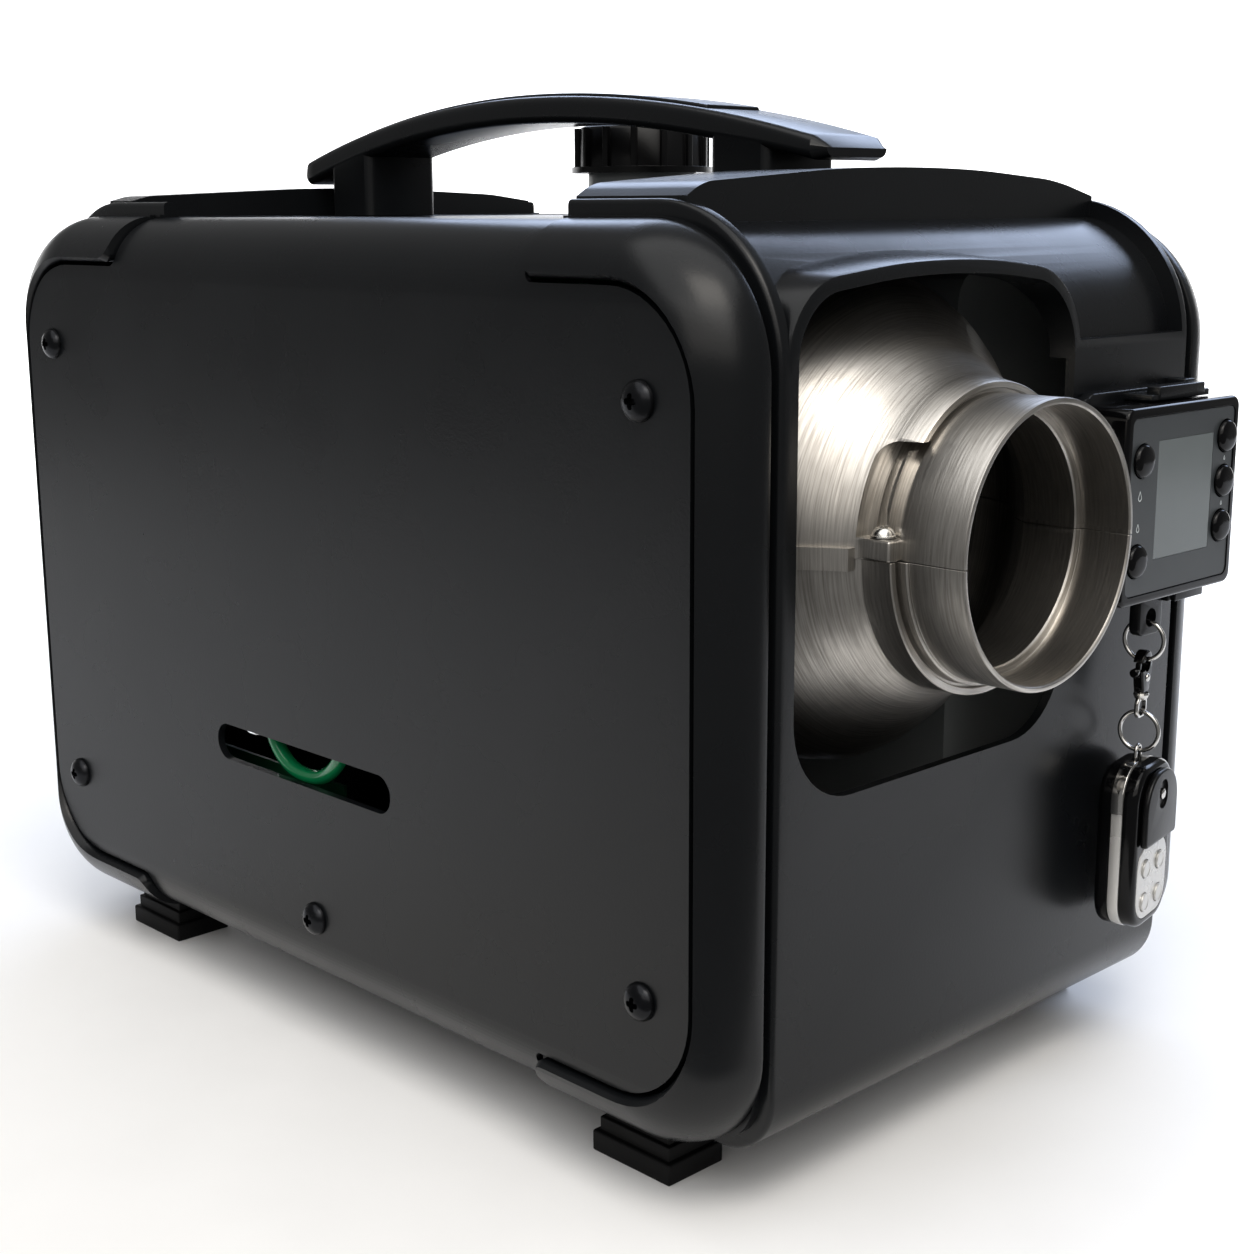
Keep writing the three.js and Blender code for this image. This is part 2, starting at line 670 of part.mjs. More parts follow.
// cast outlet hood, [x, radius] of its bell from the casing to the end of the neck
const bell = [[151, 80], [163, 81.8], [172, 81.4], [180, 77.6], [188, 71], [196, 62.9], [204, 56.5],
  [212, 51.9], [neckEnd, 48.9]];
const hoodBore = [[209, 40.5], [201, 47], [192, 60], [180, 73], [165, 78], [bell[0][0], 77]];
const hoodSegments = 24;

function casingShape(inset) {
  const half = casingHalf - inset;
  return rectShape(axisY - half, axisY + half, axisZ - half, axisZ + half, 34 - inset);
}

function heaterCasing() {
  const wall = 3;
  const back = -158;
  const front = bell[0][0] - gap;
  const inside = extrudeX(casingShape(wall), back + 4, front - 4.7);
  const shell = cut(extrudeX(casingShape(0), back, front), inside);
  const mouth = rodX(axisY, axisZ, 64, front - 20, front + 10, 24);
  const inlet = rodX(axisY, axisZ, 57, back - 10, back + 18, 24);
  const reach = casingHalf + 5;
  const flange = box(back + 8, front - 10, axisY - reach, axisY + reach, axisZ - 5, axisZ + 5);
  const lips = cut(flange, extrudeX(casingShape(1), back - 40, front + 50));
  return cut(join(shell, lips), mouth, inlet);
}

// four arms that reach into the casing's corners
function cornerArms(x, width, start) {
  const reach = 90 - start;
  const inside = extrudeX(casingShape(3 + gap), x - width, x + width);
  return [45, 135, 225, 315].map((angle) => {
    const arm = new THREE.BoxGeometry(width, reach, 6).translate(x, start + reach / 2, 0);
    arm.rotateX(THREE.MathUtils.degToRad(angle)).translate(0, axisY, axisZ);
    return solidOf(arm).intersect(inside);
  });
}

function heatExchanger() {
  const fins = 12;
  const shape = new THREE.Shape();
  const core = 43;
  for (let k = 0; k < fins; k += 1) {
    const angle = (Math.PI * 2 * k) / fins;
    const step = (Math.PI * 2) / fins;
    const place = [[angle - step * 0.16, core], [angle - step * 0.09, 60], [angle + step * 0.09, 60],
      [angle + step * 0.16, core]];
    place.forEach(([a, r], i) => {
      const point = [axisY + r * Math.cos(a), axisZ + r * Math.sin(a)];
      if (k === 0 && i === 0) shape.moveTo(...point);
      else shape.lineTo(...point);
    });
  }
  const finned = extrudeX(shape, -14, 128);
  const base = rodX(axisY, axisZ, 56, -24, -13, 24);
  const arms = cornerArms(-18, 10, 50);
  return cut(join(finned, base, ...arms), rodX(axisY, axisZ, 37, -30, 120, 24));
}

function burnerTube() {
  const [bore, wall, rim] = [24, 27, 35.5];
  const profile = [[-22, 22], [-22, rim], [-16, rim], [-16, wall], [96, wall], [96, bore], [-12, bore]];
  profile.push([-12, 22], [-22, 22]);
  return latheX(profile, axisY, axisZ, 16);
}

function glowPlug() {
  const foot = axisZ + 56.3;
  const tip = foot + 8.5;
  const profile = [[foot, 0], [foot, 4.4], [foot + 4, 4.4], [foot + 4, 2.5], [tip, 2.5], [tip, 0]];
  return latheZ(profile, -19.5, axisY, 10);
}

function blowerMotor() {
  const [back, front] = [-96, -49];
  const [bore, end, body] = [3.4, 12, 27];
  const profile = [[back, bore], [back, end], [back + 3, end + 2], [back + 3, body], [front - 3, body]];
  profile.push([front - 3, end + 2], [front, end], [front, bore], [back, bore]);
  return join(latheX(profile, axisY, axisZ, 16), ...cornerArms(-72, 6, 25));
}

// axial wheel with pitched blades, its shaft passing through the motor
function mainFan() {
  const hub = latheX([[-146, 0], [-146, 9], [-142, 16], [-112, 17], [-112, 0]], axisY, axisZ, 14);
  const shaft = rodX(axisY, axisZ, 3, -114, -28, 10);
  const blades = [];
  const count = 7;
  const [pitch, thick, root, tip] = [0.75, 2.2, 13, 52];
  for (let k = 0; k < count; k += 1) {
    const shape = new THREE.Shape();
    shape.moveTo(-9, root);
    shape.lineTo(9, root);
    shape.lineTo(14, 34);
    shape.lineTo(12, tip);
    shape.lineTo(-12, tip);
    shape.lineTo(-14, 34);
    const blade = extruded(shape, thick).translate(0, 0, -thick / 2).rotateY(pitch);
    blade.translate(-129, 0, 0).rotateX((Math.PI * 2 * k) / count);
    blades.push(solidOf(blade.translate(0, axisY, axisZ)));
  }
  return join(hub, shaft, ...blades);
}

function combustionFan() {
  const bore = 3.3;
  const [back, disc, front] = [-44, -42, -34];
  const profile = [[back, bore], [back, 30], [disc, 30], [disc, 8], [front, 7], [front, bore]];
  profile.push([back, bore]);
  const wheel = latheX(profile, axisY, axisZ, 14);
  const vanes = [];
  const count = 6;
  for (let k = 0; k < count; k += 1) {
    const turn = (Math.PI * 2 * k) / count;
    const vane = new THREE.BoxGeometry(6, 18, 1.4).translate(disc + 2.5, 20, 0).rotateX(turn);
    vanes.push(solidOf(vane.translate(0, axisY, axisZ)));
  }
  return join(wheel, ...vanes);
}

const bossPlace = { x: 218.3, y: -76.6, top: 216 };

function hoodForm() {
  const lip = 46.7;
  const ledge = neckEnd - 1.5;
  const bore = spigotRadius - 2;
  const outside = [...bell, [neckEnd, lip], [ledge, lip], [ledge, spigotRadius]];
  outside.push([outletTip - 0.8, spigotRadius], [outletTip, spigotRadius - 0.6], [outletTip, bore]);
  const inside = [[neckEnd + 5, bore], [neckEnd + 5, hoodBore[0][1]], ...hoodBore];
  return latheX([...outside, ...inside, bell[0]], axisY, axisZ, hoodSegments);
}

function hoodBoss() {
  const { x, y, top } = bossPlace;
  const reach = 5.8;
  return pad(x - reach, x + reach, y - 4.6, y + 16, hoodSplit - 2, top, 3, 0.8, extrudeZ);
}

function flangeBand() {
  const outline = new THREE.Shape();
  const lip = 3.2;
  const start = bell[0][0];
  const end = bell[bell.length - 2][0];
  const inner = axisY - spigotRadius;
  outline.moveTo(start, inner);
  bell.slice(0, -1).forEach(([x, r]) => outline.lineTo(x, axisY - r - lip));
  outline.lineTo(end, inner);
  return extrudeZ(outline, hoodSplit - 3.5, hoodSplit + 3.5);
}

// the hollow beside the neck, above the boss, where the screw is reached from in front
function hoodPocket() {
  const [low, high] = [bossPlace.top, 244];
  const wall = neckEnd - 0.4;
  const hollow = extrudeY(rectShape(212, wall + 8, low - 6, high, 5), -95, axisY);
  const behind = box(200, wall, -95, axisY, low, high);
  const lip = box(wall - 1, neckEnd + 1, -95, axisY, low, high);
  const deep = rodX(axisY, axisZ, 43, 200, neckEnd + 9, hoodSegments);
  const spigot = rodX(axisY, axisZ, spigotRadius, 200, neckEnd + 9, hoodSegments);
  return join(cut(hollow.intersect(behind), deep), cut(lip, spigot));
}

function hoodHalf(upper) {
  const bore = [...hoodBore].reverse();
  const low = bore[0][1];
  const core = latheX([[140, 0], [140, low], ...bore, [240, 40.5], [240, 0]], axisY, axisZ, hoodSegments);
  const band = flangeBand();
  let form = join(hoodForm(), cut(join(band, mirroredAt(band, axisY)), core));
  if (upper) {
    const boss = cut(hoodBoss(), core);
    const pocket = hoodPocket();
    form = cut(join(form, boss, mirroredAt(boss, axisY)), pocket, mirroredAt(pocket, axisY));
  } else {
    const groove = rodX(axisY, axisZ, 46.7, 210, neckEnd + 1, hoodSegments);
    form = join(form, cut(rodX(axisY, axisZ, 50, 213.5, neckEnd, hoodSegments), groove));
  }
  const half = upper
    ? box(100, 300, -200, 200, hoodSplit + gap / 2, 400)
    : box(100, 300, -200, 200, 0, hoodSplit - gap / 2);
  const { x, y } = bossPlace;
  return cut(form.intersect(half), rodZ(x, y, 1.9, hoodSplit - 1, 260, 12));
}

function hoodScrew() {
  const { x, y, top } = bossPlace;
  const base = top + gap;
  const crest = base + 3.2;
  const profile = [[hoodSplit + 1, 0], [hoodSplit + 1, 1.5], [base, 1.5], [base, 3.5], [base + 1.6, 3.4]];
  profile.push([crest - 0.4, 2.3], [crest, 0]);
  const [arm, wide] = [1.9, 0.45];
  const slots = [
    box(x - arm, x + arm, y - wide, y + wide, base + 1.6, crest + 1),
    box(x - wide, x + wide, y - arm, y + arm, base + 1.6, crest + 1),
  ];
  return cut(latheZ(profile, x, y, 12), ...slots);
}

// from the underside of the heater, down, back and out through the rear wall
function gasPipe({ y, z, radius }, startX, reach) {
  const top = axisZ - casingHalf - gap;
  const out = -bodyHalfLength - reach;
  const bend = 26;
  const route = [[startX, y, top], [startX, y, z + bend], [startX - bend * 0.3, y, z + bend * 0.3],
    [startX - bend, y, z], [startX - bend * 2, y, z], [out + 20, y, z], [out, y, z]];
  return tube(route, radius, 9, 8, radius - 1.6);
}

function inletGrille() {
  const out = -bodyHalfLength - 2;
  const [bore, wide] = [grilleRadius - 5, grilleRadius + 5];
  const [sill, back] = [out + 1.7, out + 9];
  const collar = grilleRadius + 1;
  const profile = [[out, bore], [out, wide], [sill, wide], [sill, collar], [back, collar], [back, bore]];
  profile.push([out, bore]);
  const rim = latheX(profile, axisY, grilleZ, 24);
  const bars = [];
  const pitch = 16;
  const reach = grilleRadius - 3;
  for (let k = -3; k <= 3; k += 1) {
    const half = Math.sqrt(reach ** 2 - (k * pitch) ** 2);
    const slat = new THREE.BoxGeometry(7, half * 2, 2.2).rotateY(-0.6);
    bars.push(solidOf(slat.translate(out + 4.6, axisY, grilleZ + k * pitch)));
  }
  const post = box(out + 1.5, out + 7.5, axisY - 2, axisY + 2, grilleZ - reach, grilleZ + reach);
  return join(rim, post, ...bars);
}

function socketBody(grow, x0, x1) {
  const { y, z } = socketPlace;
  const shape = rectShape(y - 13 - grow, y + 13 + grow, z - 8 - grow, z + 8 + grow, 2.5);
  return extrudeX(shape, x0, x1, { curveSegments: 1 });
}

function powerSocket() {
  const { y, z } = socketPlace;
  const out = -bodyHalfLength - 3;
  const flange = extrudeX(rectShape(y - 17, y + 17, z - 12, z + 12, 4), out, out + 2.7);
  const mouth = rectShape(y - 10.5, y + 10.5, z - 5.5, z + 5.5, 2);
  const well = extrudeX(mouth, out - 5, out + 16, { curveSegments: 1 });
  const blades = [-5, 5].map((side) => {
    const middle = y + side;
    return box(out + 4, out + 18, middle - 2.6, middle + 2.6, z - 0.8, z + 0.8);
  });
  return join(cut(join(flange, socketBody(0, out + 2, out + 26)), well), ...blades);
}

// ---- controller ----
const buttonPlaces = [
  ['menu', 46.8, 228.5],
  ['down', 45.4, 194.4],
  ['power', 101.3, 232.6],
  ['ok', 101, 216.6],
  ['up', 100.6, 200.6],
];
const screenPlace = { left: 56.6, right: 93, bottom: 193.6, top: 234.6 };

function controllerCradle() {
  const { left, right, bottom, top, back } = controller;
  const wallX = bodyHalfLength + gap;
  const plate = extrudeX(rectShape(left + 3, right - 4, bottom - 4, top + 4, 4), wallX, back - gap);
  const topClip = box(wallX, back + 11, 62, 102, top + gap, top + 4);
  const topLip = box(back + 8, back + 11.5, 70, 98, top - 1 + 1.3, top + 6.5);
  const lowClip = box(wallX, back + 10, 78, 100, bottom - 4.5, bottom - gap);
  const ear = extrudeX(rectShape(left - 3, left + 8, top - 6, top + 4, 3), wallX, back - gap);
  const arm = box(wallX, chain.x + 2.2, 64, 78, bottom - 4, bottom - gap);
  const shape = rectShape(65, 79, chain.lugZ - 5, bottom - 2, 3);
  const lug = extrudeX(shape, chain.x - 2.2, chain.x + 2.2);
  const hole = rodX(chain.y, chain.lugZ + 1.3, 3.4, chain.x - 9, chain.x + 9, 20);
  return cut(join(plate, topClip, topLip, lowClip, ear, arm, lug), hole);
}

function controllerBody() {
  const { left, right, bottom, top, back, face } = controller;
  const shell = pad(left, right, bottom, top, back, face, 5, 1.2, extrudeX);
  const rim = 3.4;
  const inner = rectShape(left + rim, right - rim, bottom + rim, top - rim, 3);
  const field = extrudeX(inner, face - 0.7, face + 5, { curveSegments: 2 });
  const { left: l, right: r, bottom: b, top: t } = screenPlace;
  const window = box(face - 2.2, face + 5, l - gap, r + gap, b - gap, t + gap);
  const wells = buttonPlaces.map(([, y, z]) => rodX(y, z, buttonRadius + gap, face - 4, face + 5, 12));
  return cut(shell, field, window, ...wells);
}

function controllerScreen() {
  const { left, right, bottom, top } = screenPlace;
  return box(controller.face - 1.9, controller.face - 0.9, left, right, bottom, top);
}

function controllerButton(y, z) {
  const base = controller.face - 2.6;
  const r = buttonRadius;
  const profile = [[base, 0], [base, r], [base + 2.8, r], [base + 4, r - 1.4], [base + 4.7, 0]];
  return latheX(profile, y, z, 12);
}

// ---- key chain and remote, built round the chain's own upright axis ----
function ring(z) {
  const points = [];
  const { ringRadius, wire, sides } = chain;
  const count = 14;
  for (let i = 0; i < count; i += 1) {
    const angle = (Math.PI * 2 * i) / count;
    points.push([ringRadius * Math.cos(angle), 0, z + ringRadius * Math.sin(angle)]);
  }
  return loftRing(points, wire, sides);
}

// closed wire: sections square to the route, joined end to end
function loftRing(points, wire, sides) {
  const curve = new THREE.CatmullRomCurve3(points.map((p) => new THREE.Vector3(...p)), true);
  const steps = points.length;
  const frames = curve.computeFrenetFrames(steps, true);
  const positions = [];
  const faces = [];
  for (let k = 0; k < steps; k += 1) {
    const centre = curve.getPointAt(k / steps);
    for (let i = 0; i < sides; i += 1) {
      const angle = (Math.PI * 2 * i) / sides;
      const offset = frames.normals[k].clone().multiplyScalar(wire * Math.cos(angle))
        .addScaledVector(frames.binormals[k], wire * Math.sin(angle));
      positions.push(...centre.clone().add(offset).toArray());
    }
  }
  for (let k = 0; k < steps; k += 1) {
    const next = (k + 1) % steps;
    for (let i = 0; i < sides; i += 1) {
      const j = (i + 1) % sides;
      const [a, b, c, d] = [k * sides + i, k * sides + j, next * sides + j, next * sides + i];
      faces.push(a, b, c, a, c, d);
    }
  }
  const geometry = new THREE.BufferGeometry();
  geometry.setAttribute('position', new THREE.Float32BufferAttribute(positions, 3));
  geometry.setIndex(faces);
  return solidOf(geometry);
}

const upperRingZ = chain.lugZ - chain.ringRadius;
const claspTop = upperRingZ - chain.ringRadius + chain.wire + 0.6;
const claspEyeZ = claspTop - 2.8;
const claspBottom = claspTop - 13;
const loopBottom = claspBottom - 9.6;
const lowerRingZ = loopBottom + 1 + chain.wire + 0.3 - chain.ringRadius;
const linkTop = lowerRingZ - chain.ringRadius + chain.wire + 0.3;
const linkBottom = linkTop - 7.6;
const pinZ = linkBottom + 0.3 + 0.9;

function claspHook() {
  const shape = new THREE.Shape();
  shape.moveTo(-2.6, claspBottom);
  shape.lineTo(2.6, claspBottom);
  shape.lineTo(5.2, claspEyeZ - 2);
  shape.absarc(0, claspEyeZ, 5, 0, Math.PI, false);
  shape.lineTo(-5.2, claspEyeZ - 2);
  const body = extrudeX(shape, -1.9, 1.9, { curveSegments: 4 });
  const eye = rodX(0, claspEyeZ, 2.8, -9, 9, 14);
  const mouth = box(-9, 9, -9, -2.2, claspEyeZ - 2.2, claspEyeZ + 1.2);
  const channel = box(-1.2, 1.2, -9, -2.8, claspEyeZ - 8.2, claspEyeZ - 1);
  const bore = rodZ(0, 0, 1.5, claspBottom - 1, claspBottom + 4, 12);
  return cut(body, eye, mouth, channel, bore);
}

function claspGate() {
  const slider = box(-0.9, 0.9, -4.8, -3.1, claspEyeZ - 4.4, claspEyeZ + 0.9);
  const thumb = pad(-1.6, 1.6, -8.4, -4.9, claspEyeZ - 3.2, claspEyeZ - 1, 0.8, 0.3, extrudeZ);
  return join(slider, thumb, box(-0.9, 0.9, -5.4, -4, claspEyeZ - 3, claspEyeZ - 1.2));
}

function claspSwivel() {
  const top = claspBottom - 0.4;
  const stem = rodZ(0, 0, 1.1, top - 1, claspBottom + 3, 12);
  const collar = latheZ([[top - 2.4, 0], [top - 2.4, 2.2], [top, 2.8], [top, 0]], 0, 0, 16);
  const outline = rectShape(-4.4, 4.4, loopBottom, top - 1.4, 2.8);
  outline.holes.push(rectShape(-3.2, 3.2, loopBottom + 1, top - 2.6, 1.8));
  const loop = extrudeX(outline, -0.8, 0.8, { curveSegments: 2 });
  return join(stem, collar, loop);
}

function chainLink() {
  const half = (linkTop - linkBottom) / 2;
  const centre = (linkTop + linkBottom) / 2 + 0.15;
  const points = [];
  for (let i = 0; i < 12; i += 1) {
    const angle = (Math.PI * 2 * i) / 12;
    points.push([0, 2.2 * Math.cos(angle), centre + (half + 0.6) * Math.sin(angle)]);
  }
  return loftRing(points, 0.65, chain.sides);
}

function fobShape(grow, top, bottom) {
  const half = fob.width / 2 + grow;
  const shape = new THREE.Shape();
  const [b, t] = [bottom - grow, top + grow];
  shape.moveTo(-half + 11, b);
  shape.quadraticCurveTo(0, b - 1.5, half - 11, b);
  shape.absarc(half - 11, b + 11, 11, -Math.PI / 2, 0, false);
  shape.lineTo(half, t - 12);
  shape.absarc(half - 12, t - 12, 12, 0, Math.PI / 2, false);
  shape.lineTo(-half + 12, t);
  shape.absarc(-half + 12, t - 12, 12, Math.PI / 2, Math.PI, false);
  shape.lineTo(-half, b + 11);
  shape.absarc(-half + 11, b + 11, 11, Math.PI, Math.PI * 1.5, false);
  return shape;
}

const fobBottom = fob.top - fob.height + 1.5;
const fobFace = fob.thick / 2;

function fobCase() {
  const soft = 1.2;
  const options = { bevelEnabled: true, bevelThickness: soft, bevelSize: soft, bevelSegments: 1 };
  const shell = extrudeX(fobShape(-soft, fob.top, fobBottom), -fobFace + soft, fobFace - soft, options);
  const waist = cut(box(-2.3, 2.3, -40, 40, 0, 200),
    extrudeX(fobShape(-1.8, fob.top, fobBottom), -3, 3));
  const notch = box(-1.6, 1.6, -3.8, 3.8, pinZ - 2.6, 200);
  const pin = rodX(0, pinZ + 0.6, 0.9, -3, 3, 10);
  const face = extrudeX(facePlateShape(gap), fobFace - 1.8, fobFace + 5);
  return join(cut(shell, waist, notch, face), pin);
}

function fobBand() {
  const outer = fobShape(0.2, fob.top, fobBottom);
  const ringed = cut(extrudeX(outer, -2, 2),
    extrudeX(fobShape(-1.5, fob.top, fobBottom), -3, 3));
  return cut(ringed, box(-3, 3, -4.4, 4.4, fob.top - 8, fob.top + 8));
}

const fobButtonPlaces = [
  ['a', -6.6, fobBottom + 22.5],
  ['b', 6.6, fobBottom + 22.5],
  ['c', -6.6, fobBottom + 9.8],
  ['d', 6.6, fobBottom + 9.8],
];

function facePlateShape(grow) {
  return fobShape(grow - 3.4, fobBottom + 35, fobBottom);
}

function fobPlate() {
  const plate = extrudeX(facePlateShape(0), fobFace - 1.5, fobFace + 0.1);
  const wells = fobButtonPlaces.map(([, y, z]) => rodX(y, z, 3.6, fobFace - 3, fobFace + 5, 8));
  return cut(plate, ...wells);
}

function fobButton(y, z) {
  const base = fobFace - 0.9;
  return latheX([[base, 0], [base, 3.3], [base + 1.5, 3.3], [base + 1.9, 2.6], [base + 1.9, 0]], y, z, 8);
}

// sliding cover, drawn up to bare the buttons; its underside is hollowed to pass over them
function fobCover() {
  const floor = fobFace + gap;
  const bottom = fobBottom + 32;
  const top = fobBottom + 58.4;
  const shape = new THREE.Shape();
  shape.moveTo(-13.4, bottom);
  shape.lineTo(13.4, bottom);
  shape.lineTo(14.6, bottom + 2);
  shape.lineTo(14.6, top - 13.4);
  shape.quadraticCurveTo(13, top - 0.2, 0, top);
  shape.quadraticCurveTo(-13, top - 0.2, -14.6, top - 13.4);
  shape.lineTo(-14.6, bottom + 2);
  const soft = 0.7;
  const options = { bevelEnabled: true, bevelThickness: soft, bevelSize: soft, bevelOffset: -soft };
  const cover = extrudeX(shape, floor + soft, floor + 2.4, { ...options, bevelSegments: 1 });
  const hollow = box(floor - 2, floor + 1.2, -11.5, 11.5, bottom - 2, top - 6);
  return cut(cover, hollow, rodX(0, fobBottom + 50, 4.4, floor - 3, floor + 9, 14));
}

// ---- assembly ----
const heater = new THREE.Group();

function place(name, solid, material, parent = heater) {
  const mesh = meshOf(name, solid, material);
  parent.add(mesh);
  return mesh;
}

place('front_cap', frontCap(), blackCase);
place('rear_cap', rearCap(), blackCase);
place('side_panel_near', sidePanel(-1), blackCase);
place('side_panel_far', sidePanel(1), blackCase);
place('top_deck', topDeck(), blackCase);
place('base_tray', baseTray(), blackCase);
[['front_near', 1, -1], ['front_far', 1, 1], ['rear_near', -1, -1], ['rear_far', -1, 1]].forEach(
  ([name, sideX, sideY]) => place(`foot_${name}`, foot(sideX, sideY), rubberBlack));
place('carry_handle', carryHandle(), blackCase);
place('handle_grip', handleGrip(), blackGloss);
screwPlaces.forEach(([x, z], k) => place(`panel_screw_${k + 1}`, panScrew(x, z), screwBlack));

place('fuel_tank', fuelTank(), tankPlastic);
place('filler_cap', fillerCap(), blackGloss);
place('cap_gasket', capGasket(), rubberBlack);
place('fuel_filter', fuelFilter(), clearPlastic);
place('fuel_line', fuelLine(), hoseGreen);
place('fuel_pump', fuelPump(), steel);
place('control_board', controlBoard(), boardGreen);

place('heater_casing', heaterCasing(), blackCase);
place('heat_exchanger', heatExchanger(), castAluminium);
place('burner_tube', burnerTube(), steel);
place('glow_plug', glowPlug(), steel);
place('blower_motor', blowerMotor(), steel);
place('main_fan', mainFan(), blackCase);
place('combustion_fan', combustionFan(), castAluminium);
place('outlet_hood_upper', hoodHalf(true), castAluminium);
place('outlet_hood_lower', hoodHalf(false), castAluminium);
place('hood_screw', hoodScrew(), steel);
place('exhaust_pipe', gasPipe(exhaustPlace, -20, outletTip - bodyHalfLength), steel);
place('intake_pipe', gasPipe(intakePlace, -20, 16), blackGloss);
place('inlet_grille', inletGrille(), blackCase);
place('power_socket', powerSocket(), blackGloss);

place('controller_cradle', controllerCradle(), blackCase);
place('controller_body', controllerBody(), blackGloss);
place('controller_screen', controllerScreen(), greyScreen);
buttonPlaces.forEach(([name, y, z]) => place(`button_${name}`, controllerButton(y, z), blackGloss));

const hanging = new THREE.Group();
hanging.position.set(chain.x, chain.y, 0);
hanging.rotation.z = THREE.MathUtils.degToRad(chain.yaw);
heater.add(hanging);
place('key_ring_upper', ring(upperRingZ), steel, hanging);
place('clasp_hook', claspHook(), blackGloss, hanging);
place('clasp_gate', claspGate(), blackGloss, hanging);
place('clasp_swivel', claspSwivel(), steel, hanging);
place('key_ring_lower', ring(lowerRingZ), steel, hanging);
place('chain_link', chainLink(), steel, hanging);
place('fob_case', fobCase(), blackGloss, hanging);
place('fob_band', fobBand(), satinSilver, hanging);
place('fob_plate', fobPlate(), satinSilver, hanging);
place('fob_cover', fobCover(), blackGloss, hanging);
fobButtonPlaces.forEach(([name, y, z]) => {
  place(`fob_button_${name}`, fobButton(y, z), satinSilver, hanging);
});

export default heater;
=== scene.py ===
import json
import math

import bmesh
import bpy
from mathutils import Matrix, Vector

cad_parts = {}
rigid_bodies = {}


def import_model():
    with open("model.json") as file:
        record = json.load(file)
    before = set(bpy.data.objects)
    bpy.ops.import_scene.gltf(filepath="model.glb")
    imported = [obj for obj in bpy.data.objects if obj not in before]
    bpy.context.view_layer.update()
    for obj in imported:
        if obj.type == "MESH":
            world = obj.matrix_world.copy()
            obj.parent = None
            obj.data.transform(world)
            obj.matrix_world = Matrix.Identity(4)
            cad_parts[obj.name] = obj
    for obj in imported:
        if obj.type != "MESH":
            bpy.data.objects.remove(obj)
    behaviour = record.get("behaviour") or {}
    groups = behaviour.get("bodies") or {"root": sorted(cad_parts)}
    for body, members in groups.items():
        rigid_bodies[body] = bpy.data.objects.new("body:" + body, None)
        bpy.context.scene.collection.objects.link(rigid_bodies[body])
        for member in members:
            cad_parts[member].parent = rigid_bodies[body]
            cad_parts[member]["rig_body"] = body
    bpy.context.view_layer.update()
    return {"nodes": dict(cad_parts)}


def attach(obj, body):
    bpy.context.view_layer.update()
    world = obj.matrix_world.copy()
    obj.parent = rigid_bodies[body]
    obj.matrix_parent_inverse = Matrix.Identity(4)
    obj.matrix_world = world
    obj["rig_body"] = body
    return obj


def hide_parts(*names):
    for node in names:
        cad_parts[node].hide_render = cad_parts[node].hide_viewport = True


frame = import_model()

mm = 0.001                                  # everything is drawn in mm and scaled once it is finished
axes = {"X": Vector((1, 0, 0)), "Y": Vector((0, 1, 0)), "Z": Vector((0, 0, 1))}
print("stage: frame loaded")


def newObject(name, data):
    thing = bpy.data.objects.new(name, data)
    bpy.context.scene.collection.objects.link(thing)
    return thing


# camera: same place and lens as the photograph was taken with

shot = {
    "place": (567.93, -522.65, 312.5), "azimuth": 45.83, "elevation": 12.39, "roll": -0.2,
    "focal": 1912.35, "frame": 1254, "sensor": 36,       # focal length and picture width in pixels
}


def makeCamera():
    azimuth, elevation, roll = (math.radians(shot[key]) for key in ("azimuth", "elevation", "roll"))
    level = math.cos(elevation)
    back = Vector((math.sin(azimuth) * level, -math.cos(azimuth) * level, math.sin(elevation)))
    right = Vector((math.cos(azimuth), math.sin(azimuth), 0))
    up = back.cross(right)
    tiltedRight = right * math.cos(roll) + up * math.sin(roll)
    tiltedUp = up * math.cos(roll) - right * math.sin(roll)
    data = bpy.data.cameras.new("camera")
    data.sensor_width = shot["sensor"]
    data.lens = shot["sensor"] * shot["focal"] / shot["frame"]
    data.clip_start = 0.01
    camera = newObject("camera", data)
    turn = Matrix((tiltedRight, tiltedUp, back)).transposed().to_4x4()
    camera.matrix_world = Matrix.Translation(Vector(shot["place"]) * mm) @ turn
    bpy.context.scene.camera = camera


makeCamera()

# light: a wide ceiling box, a cool box high at the back, a warm key above the outlet and a
# broad fill beside the camera

studio = {
    "room": 0.22,
    # floorGlow and glowFrom set the floor's painted glow, which is strongest far behind the product
    "floorGlow": 0.5, "glowFrom": (0.15, 1.0),           # metres behind the middle of the floor
    "backdropGlow": 1.15,
    "aim": (0.05, 0, 0.17),
    "boxes": [
        {"at": (0.5, -0.7, 2.5), "size": (3.8, 3.4), "power": 62, "colour": "#ffffff"},
        {"at": (-0.55, 1.4, 1.2), "size": (2.3, 0.6), "power": 20, "colour": "#cfe0ff"},
        {"at": (0.85, -0.52, 1.55), "size": (0.9, 0.6), "power": 9.5, "colour": "#fff8ee"},
        {"at": (1.4, -1.4, 1.3), "size": (2.6, 1.2), "power": 14, "colour": "#fffaf4"},
    ],
}


def hexColour(code):
    values = [int(code[i:i + 2], 16) / 255 for i in (1, 3, 5)]
    return [v / 12.92 if v <= 0.04045 else ((v + 0.055) / 1.055) ** 2.4 for v in values] + [1.0]


